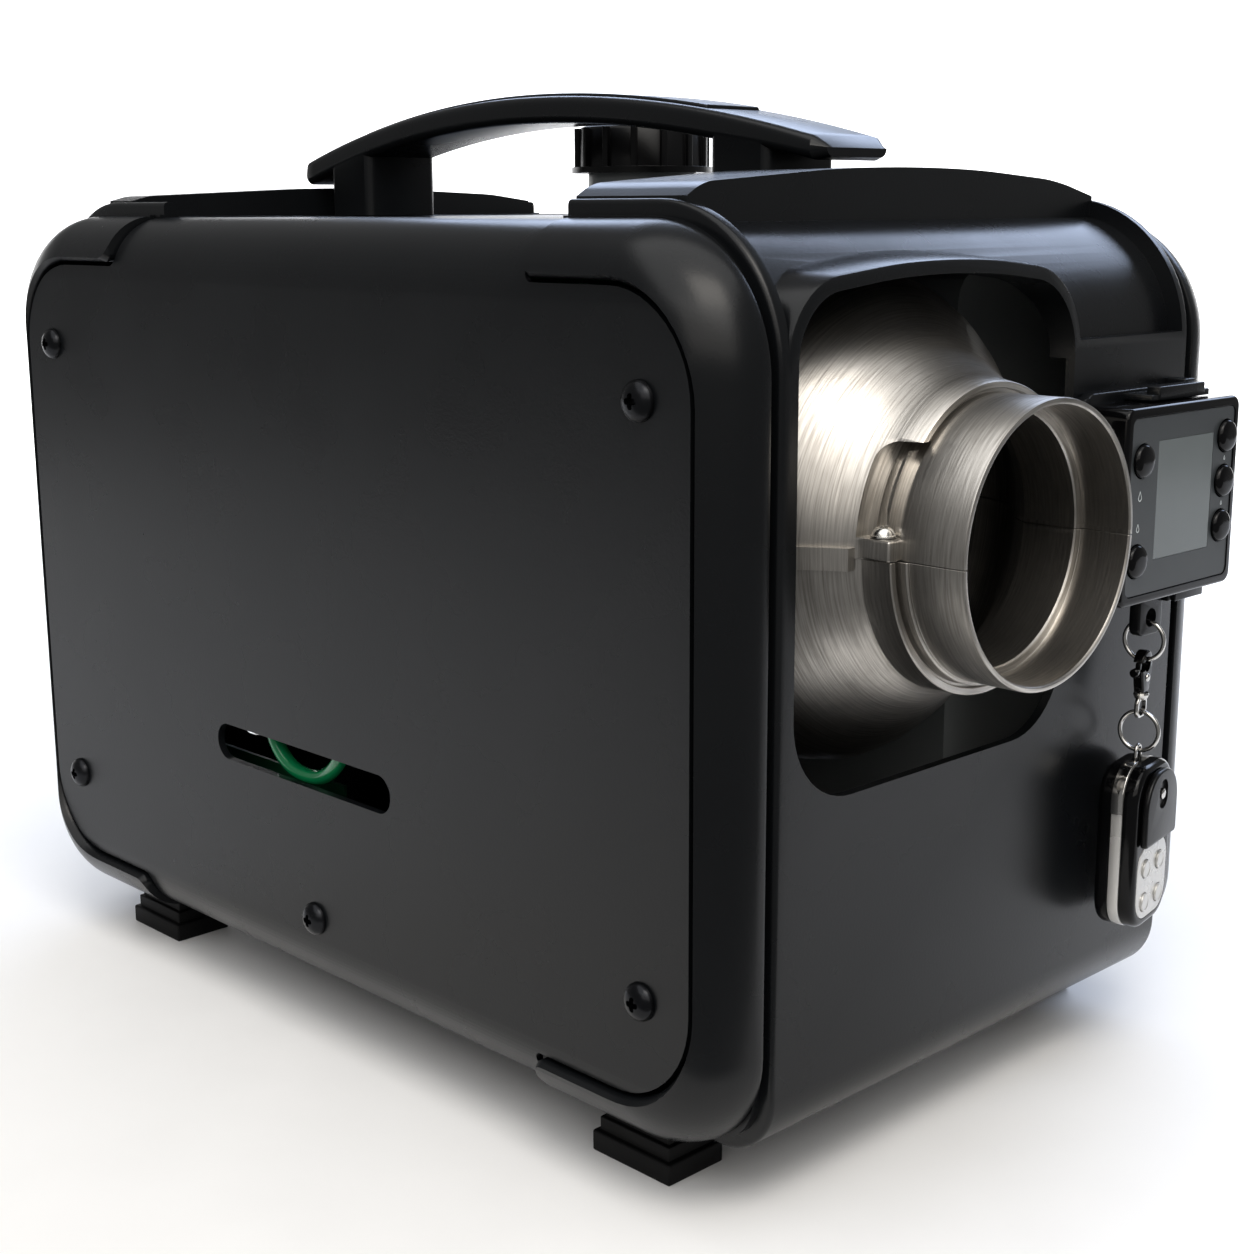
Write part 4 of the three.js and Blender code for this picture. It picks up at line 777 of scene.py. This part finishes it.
def makeHandle():
    x0, x1 = handle["centre"] - handle["half"], handle["centre"] + handle["half"]
    thin = handle["thick"] - handle["frontThick"]
    stations = []
    count = handle["steps"]
    for k in range(count + 1):
        # the last 4 mm of each end are drawn in to a rounded tip
        x = x0 + (x1 - x0) * k / count
        tip = max(0.0, 1 - min(x - x0, x1 - x) / 4)
        pinch = 3 * (1 - math.sqrt(max(0.0, 1 - tip * tip)))
        thick = handle["thick"] - thin * max(0.0, (x - 90) / (x1 - 90))
        top, low = handleTop(x) - pinch * 0.9, handleTop(x) - thick + pinch * 0.7
        wide = handle["width"] - pinch
        stations.append((rect(-wide, wide, low, top, 3.2), x))
    bar = loft(stations, "X", 5)
    leg = handle["leg"]
    under = archBar(x0 - 1, x1 + 1, 40, 40, 60, -handle["thick"] / 2, 3)
    for low, high in handle["legs"]:
        upright = prism(rect(low, high, -leg, leg, 4), "Z", 309.3, 348, 6)
        bar = join(bar, keepWithin(upright, copyOf(under)))
    bpy.data.objects.remove(under)
    bar = cutAway(bar, block(118.7, 200, -60, 60, 300, 326.3))
    low, high = handle["pad"]
    bar = cutAway(bar, archBar(low, high, 40, 14.5, 2.5, 3, 1.2))
    finishPiece("handleBar", bar, mouldedAbs, "case", ["carry_handle"], 0.6)
    grip = archBar(low + 0.4, high - 0.4, 40, 14.1, 2.1, 1.2, 1.1)
    finishPiece("handleGrip", grip, mouldedAbs, "case", ["handle_grip"], 0.3)


makeHandle()
print("stage: handle")

# ---- filler ----

filler = {"x": -15.7, "y": 54, "bottom": 326.2, "top": 345, "radius": 26.4, "flange": 29.3, "ribs": 14}


def makeCap():
    low, high, wide = filler["bottom"], filler["top"], filler["radius"]
    centre = (filler["x"], filler["y"], 0)
    profile = [
        (low, 0), (low, filler["flange"]), (low + 2.4, filler["flange"]), (low + 2.6, wide),
        (high - 1.5, wide - 0.3), (high - 0.4, wide - 1), (high, wide - 2.4), (high, wide - 6),
        (high - 1.2, wide - 7), (high - 1.2, 0)]
    skirt = turned(profile, "Z", centre, 96)
    for k in range(filler["ribs"]):
        turn = Matrix.Translation(centre) @ Matrix.Rotation(math.tau * k / filler["ribs"], 4, "Z")
        rib = move(block(wide - 2, wide + 1.8, -1.3, 1.3, low + 1, high - 0.8, 0.4), turn)
        skirt = join(skirt, rib)
    bore = rod("Z", centre, 22.9, 320, 339, 64)
    finishPiece("screwCap", cutAway(skirt, bore), mouldedPolypropylene, "cap", ["filler_cap"], 0.3)


makeCap()
print("stage: filler cap")

# ---- outlet hood ----

hood = {
    "y": -30, "z": 211, "split": 209.5, "slit": 0.15, "tip": 247, "pipe": 45.3, "bore": 43.3,
    "neckEnd": 224, "band": (206, 213), "bandOut": 3.2, "segments": 144,
}
# profiles, as distance along x and radius
bell = [(151, 80), (160, 81.5), (168, 81.8), (175, 80.4), (181, 77), (186, 72.8), (191, 67.6), (196, 62.9),
        (201, 58.7), (206, 55.2)]
upperNeck = [(211, 52.4), (216, 50.4), (223.6, 49), (224, 48.7), (224, 46.9), (223.7, 46.6), (222.4, 46.6),
             (222.4, 45.3)]
lowerNeck = [(210, 52), (212.6, 50.2), (213, 50), (223.6, 50), (224, 49.7), (224, 47.8), (223.7, 47.5),
             (222.4, 47.5), (222.4, 46.4), (226.8, 46.4), (227.3, 45.9), (227.3, 45.3)]
throat = [(229, 43.3), (228.7, 41), (228.2, 40.5), (209, 40.5), (201, 47), (192, 60), (180, 73), (165, 78),
          (151, 77)]
boss = {"x": 218.3, "y": -76.6, "top": 216, "front": 224.2, "back": 212.5}
pocket = {"top": 244, "back": 212, "front": 223.6, "step": 215.2, "fin": 218.8}
screwDome = [(0, 0), (0, 3.9), (0.6, 3.9), (0.8, 3.5), (1.6, 3.3), (2.5, 2.7), (3.1, 1.8), (3.3, 0)]


def hoodTurned(profile):
    return turned(profile, "X", (0, hood["y"], hood["z"]), hood["segments"])


def neckPlug(radius):
    return hoodTurned([(190, 0), (190, radius), (240, radius), (240, 0)])


def hoodShell(neck, cut):
    tip, pipe, bore = hood["tip"], hood["pipe"], hood["bore"]
    rim = [(tip - 0.7, pipe), (tip - 0.2, pipe - 0.15), (tip, pipe - 0.5), (tip, bore + 0.5),
           (tip - 0.5, bore)]
    return keepWithin(hoodTurned(bell + neck + rim + throat + bell[:1]), cut)


def hoodBand():
    # the upper half's edge is a flat band that laps down over the lower half
    low, high = hood["band"]
    y = hood["y"]
    curve = bell + [(212, 51.9)]
    line = [(x, y - r - hood["bandOut"], 0) for x, r in curve]
    outline = [(151, y - 44, 0)] + line + [(212, y - 44, 0)]
    into = [(x, r - 1) for x, r in curve]
    clear = [(x, r + 0.25) for x, r in curve]
    top = prism(outline, "Z", hood["split"] + 0.1, high, 1)
    top = cutAway(top, hoodTurned([(140, 0), (140, 79)] + into + [(250, 44), (250, 0)]))
    hem = prism(outline, "Z", low, hood["split"] + 0.15, 1)
    hem = cutAway(hem, hoodTurned([(140, 0), (140, 80.3)] + clear + [(250, 46), (250, 0)]))
    return join(top, hem)


def hoodPocket():
    # hollow beside the neck, two depths and an upright fin, where the screw is reached from in front
    low, high = boss["top"], pocket["top"]
    y = hood["y"]
    back, front, step, fin = pocket["back"], pocket["front"], pocket["step"], pocket["fin"]
    shape = [(back, low, 0), (front, low, 0), (front, high, 0.8), (back, high, 5)]
    hollow = prism(shape, "Y", -96, y, 10)
    shallow = keepWithin(copyOf(hollow), block(200, step, -96, y, low, high))
    shallow = cutAway(shallow, neckPlug(46.4))
    deep = cutAway(keepWithin(hollow, block(step - 0.1, 240, -96, y, low, high)), neckPlug(43.2))
    blade = [(fin - 0.7, low - 1, 0), (fin + 0.7, low - 1, 0), (fin + 0.5, high - 6, 0),
             (fin, high - 3, 0), (fin - 0.5, high - 6, 0)]
    rib = prism(blade, "Y", -96, y, 1)
    rib = keepWithin(rib, neckPlug(46.8))
    lip = cutAway(block(front - 1, hood["neckEnd"] + 1, -96, y, low, high), neckPlug(hood["pipe"]))
    return join(cutAway(join(deep, shallow), rib), lip)


def makeHood():
    y, split, slit = hood["y"], hood["split"], hood["slit"]
    upper = hoodShell(upperNeck, block(100, 300, -200, 200, split + slit, 400))
    lower = hoodShell(lowerNeck, block(100, 300, -200, 200, 0, split - slit))
    left, right = boss["y"] - 4.6, boss["y"] + 18
    lug = block(boss["back"], boss["front"], left, right, split + slit, boss["top"], 0.8)
    lug = cutAway(lug, neckPlug(44.5))
    band = hoodBand()
    hollow = hoodPocket()
    upper = join(upper, mirrored(band, "Y", y), band, mirrored(lug, "Y", y), lug)
    upper = cutAway(upper, mirrored(hollow, "Y", y), hollow)
    place = (boss["x"], boss["y"], 0)
    upper = cutAway(upper, rod("Z", place, 1.9, 190, 230, 24))
    finishPiece("hoodUpper", upper, brushedAluminium, "case", ["outlet_hood_upper"], 0.3)
    finishPiece("hoodLower", lower, brushedAluminium, "case", ["outlet_hood_lower"], 0.3)
    base = boss["top"] + 0.25
    head = [(base + up, radius) for up, radius in screwDome]
    screw = join(turned(head, "Z", place, 48), rod("Z", place, 1.5, split + 1, base + 0.4, 20))
    cross = crossBars(boss["x"], boss["y"], (1.7, 0.4), "Z", base + 2.2, base + 5)
    finishPiece("hoodScrew", cutAway(screw, *cross), zincPlate, "case", ["hood_screw"], 0.12)


makeHood()
print("stage: outlet hood")

# ---- controller ----

# boxes are left, right, bottom and top
controller = {"box": (36, 110, 179, 246.5), "back": 213, "face": 231, "button": 5.7}
buttonPlaces = {"menu": (46.8, 228.5), "down": (45.4, 194.4), "power": (101.3, 232.6), "ok": (101, 216.6),
                "up": (100.6, 200.6)}
displayBox = (56.6, 93, 193.6, 234.6)
marks = {"A": (46, 216.4, 2.1), "B": (45.6, 205.6, 1.8), "C": (101.2, 224.7, 1), "D": (100.8, 208.6, 1)}

# the key chain hangs from the cradle's lug: heights of its rings, eye, clasp, loop and link
chain = {
    "at": (220, 72), "yaw": 10, "lug": 168.5, "ring": 7.2, "wire": 0.8, "upper": 161.3, "lower": 127.8,
    "eye": 152.7, "clasp": 142.5, "loop": 132.9, "link": 118.05,
}


def frontRect(grow, r):
    # the controller's outline, seen from the front
    left, right, low, high = controller["box"]
    return rect(left - grow, right + grow, low - grow, high + grow, r)


def makeController():
    back, face, radius = controller["back"], controller["face"], controller["button"]
    shell = prism(frontRect(0, 4), "X", back, face, 8, 1.5, 4)
    shell = cutAway(shell, prism(frontRect(-3.2, 3), "X", face - 0.9, 240, 6))
    wells = [rod("X", (0, y, z), radius + 0.35, face - 4, face + 4, 48) for y, z in buttonPlaces.values()]
    shell = cutAway(shell, *[copyOf(well) for well in wells])
    finishPiece("controllerShell", shell, polishedAbs, "case", ["controller_body"], 0.25)
    plate = prism(frontRect(-3.5, 2.7), "X", face - 0.9, face - 0.35, 6)
    left, right, low, high = displayBox
    window = prism(rect(*displayBox, 0.4), "X", face - 2, face + 4, 2)
    finishPiece("controllerFace", cutAway(plate, *wells, window), printedPolycarbonate, "case", (), 0.12)
    glass = block(face - 0.88, face - 0.42, left + 0.1, right - 0.1, low + 0.1, high - 0.1)
    finishPiece("controllerGlass", glass, displayGlass, "case", ["controller_screen"], 0.05)
    dome = [(face + 2.1 * math.sin(t), radius * math.cos(t) ** 0.55) for t in quarterTurn(10)[:-1]]
    dome.append((face + 2.1, 0))
    for name, (y, z) in buttonPlaces.items():
        button = turned([(face - 2.6, 0), (face - 2.6, radius)] + dome, "X", (0, y, z), 48)
        finishPiece(name + "Button", button, polishedAbs, name + "_button", ["button_" + name], 0.1, 50)


def makeCradle():
    # back plate with an ear, a clip over the top and one below, and the lug of the key chain
    left, right, low, high = controller["box"]
    wall, back = case["halfLength"] + 0.3, controller["back"]
    plate = prism(rect(left + 4, right - 5, low - 4, high + 3.6, 4), "X", wall, back - 0.3, 8, 0.6)
    shape = [(left - 2.5, high - 8, 3), (left + 10, high - 8, 1), (left + 17, high + 2.6, 3),
             (left + 1, high + 2.6, 6)]
    ear = prism(shape, "X", wall, back - 0.3, 6, 0.5)
    strap = block(wall, back + 11, 62, 100, high + 0.3, high + 2.6, 0.5)
    lip = block(back + 6, back + 11.5, 66, 96, high + 0.4, high + 5.2, 0.6)
    tab = block(wall, back + 3, 97, 104, high + 2, high + 5.4, 0.5)
    clip = block(wall, back + 11, 80, 101, low - 4.4, low - 0.3, 0.6)
    hook = block(back + 8, back + 12.6, 82, 101, low - 4.4, low - 1.3, 0.5)
    x, y = chain["at"]
    arm = block(wall, x + 2.2, 64, 79, low - 3.4, low - 0.3, 0.6)
    lug = prism(rect(64.5, 79.5, chain["lug"] - 5, low - 1, 3.5), "X", x - 2.2, x + 2.2, 8, 0.7)
    cradle = join(plate, ear, strap, lip, tab, clip, hook, arm, lug)
    hole = rod("X", (0, y, chain["lug"] + 1.3), 3.4, 210, 230, 40)
    finishPiece("controllerCradle", cutAway(cradle, hole), mouldedAbs, "case", ["controller_cradle"], 0.3)


def dropOutline(y, z, size):
    return [(y, z + size, 0.1), (y - size * 0.62, z - size * 0.3, size * 0.5),
            (y, z - size * 0.95, size * 0.5), (y + size * 0.62, z - size * 0.3, size * 0.5)]


def dropMark(y, z, size):
    # a small drop, printed in outline beside a button
    x = controller["face"] - 0.35
    outer = prism(dropOutline(y, z, size), "X", x - 0.05, x + 0.06, 6)
    return cutAway(outer, prism(dropOutline(y, z, size - 0.5), "X", x - 0.5, x + 0.5, 6))


def makeMarks():
    for name, (y, z, size) in marks.items():
        finishPiece("dropMark" + name, dropMark(y, z, size), screenInk, "case")


makeController()
makeCradle()
makeMarks()
print("stage: controller")

# ---- key chain and remote, drawn round the chain's own upright line ----

chainPlace = Matrix.Translation((*chain["at"], 0)) @ Matrix.Rotation(math.radians(chain["yaw"]), 4, "Z")


def hang(name, thing, material, node, edge=0.0, stands=True):
    body = frame["nodes"][node]["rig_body"]
    finishPiece(name, move(thing, chainPlace), material, body, [node] if stands else (), edge)


def makeChain():
    eye, low, loop = chain["eye"], chain["clasp"], chain["loop"]
    for name in ("upper", "lower"):
        ring = wireRing((0, 0, chain[name]), chain["ring"], chain["wire"], "Y", 64)
        hang(name + "Ring", ring, nickelPlate, "key_ring_" + name)
    wedge = [(-2.6, low, 0.8), (2.6, low, 0.8), (5, eye - 1, 0.6), (-5, eye - 1, 0.6)]
    half = [(1.2, 5), (1.7, 4.8), (1.9, 4.3), (1.9, 0)]
    disc = [(-x, r) for x, r in reversed(half)] + half
    hook = join(prism(wedge, "X", -1.9, 1.9, 4, 0.7), turned(disc, "X", (0, 0, eye), 48))
    mouth = block(-9, 9, -9, -2.2, eye - 2.2, eye + 1.2)
    track = block(-1.2, 1.2, -9, -2.8, eye - 8.2, eye - 1)
    hook = cutAway(hook, rod("X", (0, 0, eye), 2.8, -9, 9), mouth, track,
                   rod("Z", (0, 0, 0), 1.5, low - 1, low + 4))
    hang("claspHook", hook, polishedAbs, "clasp_hook", 0.2)
    rivet = turned([(1.95, 0), (1.95, 1.5), (2.3, 1.3), (2.6, 0.7), (2.65, 0)], "X", (0, 0.4, eye - 5), 32)
    hang("claspRivet", rivet, nickelPlate, "clasp_hook", 0.0, False)
    thumb = [(-8.6, 0), (-8.6, 1.2), (-8.2, 1.6), (-6, 1.6), (-4.9, 1.1), (-4.9, 0)]
    gate = join(block(-0.9, 0.9, -4.8, -3.1, eye - 4.4, eye + 0.9, 0.3),
                block(-0.9, 0.9, -5.4, -4, eye - 3, eye - 1.2, 0.2),
                turned(thumb, "Y", (0, 0, eye - 2.1), 24))
    hang("claspGate", gate, polishedAbs, "clasp_gate", 0.12)
    top = low - 0.4
    stud = [(top - 2.4, 0), (top - 2.4, 1.9), (top - 2, 2.3), (top - 0.7, 2.8), (top, 2.6), (top, 1.1),
            (low + 3, 1.1), (low + 3, 0)]
    swivel = turned(stud, "Z", (0, 0, 0), 40)
    frameLoop = prism(rect(-4.4, 4.4, loop, top - 1.2, 3), "X", -0.8, 0.8, 8, 0.5)
    frameLoop = cutAway(frameLoop, prism(rect(-3.2, 3.2, loop + 0.85, top - 2.6, 2), "X", -2, 2, 8))
    hang("claspSwivel", join(swivel, frameLoop), nickelPlate, "clasp_swivel", 0.3)
    # the link is a ring whose upper and lower halves are drawn apart
    link = wireRing((0, 0, chain["link"]), 2.2, 0.65, "X", 48)
    for vert in link.data.vertices:
        rise = vert.co.z - chain["link"]
        if abs(rise) > 0.001:
            vert.co.z += math.copysign(2.2, rise)
    hang("chainLink", link, nickelPlate, "chain_link")


remote = {
    "half": 17.5, "low": 56.5, "top": 117, "thick": 15, "round": 12, "pin": 115.9, "plateTop": 88.1,
    "cover": (88.5, 114.9), "window": 106,
}
remoteButtons = {"a": (-6.6, 79), "b": (6.6, 79), "c": (-6.6, 66.3), "d": (6.6, 66.3)}
remoteDish = [(0, 0), (0, 3.35), (1.7, 3.35), (1.9, 3.15), (1.9, 2.8), (1.7, 2.55), (1.75, 1.2), (1.8, 0)]


def remoteOutline(grow):
    half = remote["half"] + grow
    return rect(-half, half, remote["low"] - grow, remote["top"] + grow, remote["round"] + grow)


def plateOutline(grow):
    half = remote["half"] - 3.4 + grow
    return rect(-half, half, remote["low"] + 3.4 - grow, remote["plateTop"] + grow, 9 + grow)


def remoteSlab(grow, half, steps=14, soft=0.0, softSteps=3):
    return prism(remoteOutline(grow), "X", -half, half, steps, soft, softSteps)


def makeRemote():
    face, pin = remote["thick"] / 2, remote["pin"]
    shell = remoteSlab(0, face, 12, 2.4, 5)
    waist = cutAway(block(-2.3, 2.3, -40, 40, 0, 200), remoteSlab(-1.8, 3, 12))
    shell = cutAway(shell, waist, block(-1.6, 1.6, -3.8, 3.8, pin - 3.2, 200),
                    prism(plateOutline(0.25), "X", face - 1.8, face + 5, 10))
    hang("remoteShell", join(shell, rod("X", (0, 0, pin), 0.9, -3, 3, 24)), polishedAbs, "fob_case", 0.25)
    gap = block(-3, 3, -4.4, 4.4, remote["top"] - 8, 140)
    ring = cutAway(remoteSlab(0.2, 2, 14, 0.3), remoteSlab(-1.5, 3), gap)
    hang("remoteBand", ring, metallisedPlastic, "fob_band", 0.1)
    eyelet = cutAway(remoteSlab(0.8, 2.2, 14, 0.3), remoteSlab(0.25, 3))
    eyelet = keepWithin(eyelet, block(-3, 3, -30, -4.6, remote["top"] - 16, 140))
    hang("remoteEyelet", eyelet, nickelPlate, "fob_band", 0.15, False)
    plate = prism(plateOutline(0), "X", face - 1.5, face + 0.15, 10, 0.3)
    wells = [rod("X", (0, y, z), 3.6, face - 3, face + 5, 40) for y, z in remoteButtons.values()]
    hang("remotePlate", cutAway(plate, *wells), metallisedPlastic, "fob_plate", 0.1)
    profile = [(face - 0.9 + up, radius) for up, radius in remoteDish]
    for name, (y, z) in remoteButtons.items():
        hang("remoteButton" + name.upper(), turned(profile, "X", (0, y, z), 40), metallisedPlastic,
             "fob_button_" + name, 0.05)
    low, high = remote["cover"]
    floor, middle = face + 0.3, remote["window"]
    shape = [(-14.6, low, 2), (14.6, low, 2), (14.6, high, 13), (-14.6, high, 13)]
    cover = prism(shape, "X", floor, floor + 2.7, 12, 0.9)
    cover = cutAway(cover, block(floor - 2, floor + 1.2, -11.5, 11.5, low - 2, high - 6),
                    prism(rect(-4, 4, middle - 5.4, middle + 5.4, 4), "X", floor + 1.6, floor + 5, 12))
    hang("remoteCover", cover, mouldedPolypropylene, "fob_cover", 0.2)
    post = [(floor + 1.65, 0), (floor + 1.65, 2), (floor + 2.6, 1.9), (floor + 3, 1.2), (floor + 3.1, 0)]
    hang("coverPost", turned(post, "X", (0, 0, middle), 32), nickelPlate, "fob_cover", 0.0, False)


makeChain()
makeRemote()
print("stage: key chain and remote")

# ---- fuel hose, seen through the slot ----

hose = {
    "radius": 3,
    "way": [
        (66, -117, 128.4), (66, -117, 138.4), (58, -120, 158), (40, -122, 164), (22, -124, 152),
        (12, -125, 128), (3, -125, 109.5), (-15, -125, 102.5), (-33, -125, 109.5), (-41, -124, 130),
        (-44, -121, 170), (-46, -118, 230), (-47, -112, 262), (-44, -100, 279), (-32, -72, 285.5),
        (0, -22, 285.5), (30, 22, 285.5), (36, 40, 285.5), (36, 45.7, 285.5),
    ],
}


def makeHose():
    # up from the filter, down past the slot in a U bend, up the panel and over to the tank
    line = pipeAlong(hose["way"], hose["radius"])
    finishPiece("fuelHose", line, extrudedHose, "case", ["fuel_line"], 0.0, 60)


makeHose()
print("stage: fuel hose")

# ---- gas pipes, which leave at the rear ----

gasPipes = {
    "exhaust": {"y": 22, "radius": 12, "end": -247, "material": drawnStainless},
    "intake": {"y": -22, "radius": 10, "end": -224, "material": polishedAbs},
}
gasBend = {"x": -20, "z": 72, "top": 140.6, "radius": 26, "wall": 1.6}


def makeGasPipes():
    x, z, bend = gasBend["x"], gasBend["z"], gasBend["radius"]
    for name, place in gasPipes.items():
        y, radius, end = place["y"], place["radius"], place["end"]
        way = [(x, y, gasBend["top"]), (x, y, z + bend), (x - bend * 0.3, y, z + bend * 0.3),
               (x - bend, y, z), (x - bend * 2, y, z), (end, y, z)]
        bore = rod("X", (0, y, z), radius - gasBend["wall"], end - 5, x - bend * 2, 64)
        pipe = cutAway(pipeAlong(way, radius, 14), bore)
        finishPiece(name + "Pipe", pipe, place["material"], "case", [name + "_pipe"], 0.25, 40)


makeGasPipes()
print("stage: gas pipes")

# ---- skins for the pieces that are right as they are ----

# material and bevel width
polishedNodes = {
    "base_tray": (mouldedAbs, 0.4), "fuel_tank": (blownPolyethylene, 0.0),
    "cap_gasket": (mouldedRubber, 0.0), "fuel_filter": (mouldedAcrylic, 0.2),
    "fuel_pump": (drawnStainless, 0.2), "control_board": (lacqueredBoard, 0.1),
    "heater_casing": (mouldedAbs, 0.0), "heat_exchanger": (castAluminium, 0.0),
    "burner_tube": (drawnStainless, 0.0), "glow_plug": (drawnStainless, 0.0),
    "blower_motor": (drawnStainless, 0.0), "main_fan": (mouldedAbs, 0.0),
    "combustion_fan": (castAluminium, 0.0), "inlet_grille": (mouldedAbs, 0.2),
    "power_socket": (polishedAbs, 0.2),
}
for node, (material, edge) in polishedNodes.items():
    polished(node, material, edge)
print("stage: inner pieces")


def makeStage(name, material, placing):
    bm = bmesh.new()
    bmesh.ops.create_grid(bm, x_segments=1, y_segments=1, size=0.5, matrix=placing)
    mesh = bpy.data.meshes.new(name)
    bm.to_mesh(mesh)
    bm.free()
    mesh.materials.append(material)
    newObject(name, mesh)


# the floor and the backdrop face the camera
facing = Matrix.Rotation(math.radians(shot["azimuth"]), 4, "Z")
floorPlace = facing @ Matrix.Translation((0, 0.655, 0)) @ Matrix.Diagonal((3.6, 1.93, 1, 1))
wallPlace = facing @ Matrix.Translation((0, 1.6, 0.3)) @ Matrix.Rotation(math.pi / 2, 4, "X")
makeStage("floor", floorPaint, floorPlace)
makeStage("backdrop", backdropPaper, wallPlace @ Matrix.Diagonal((3.6, 0.68, 1, 1)))
print("stage: finished")
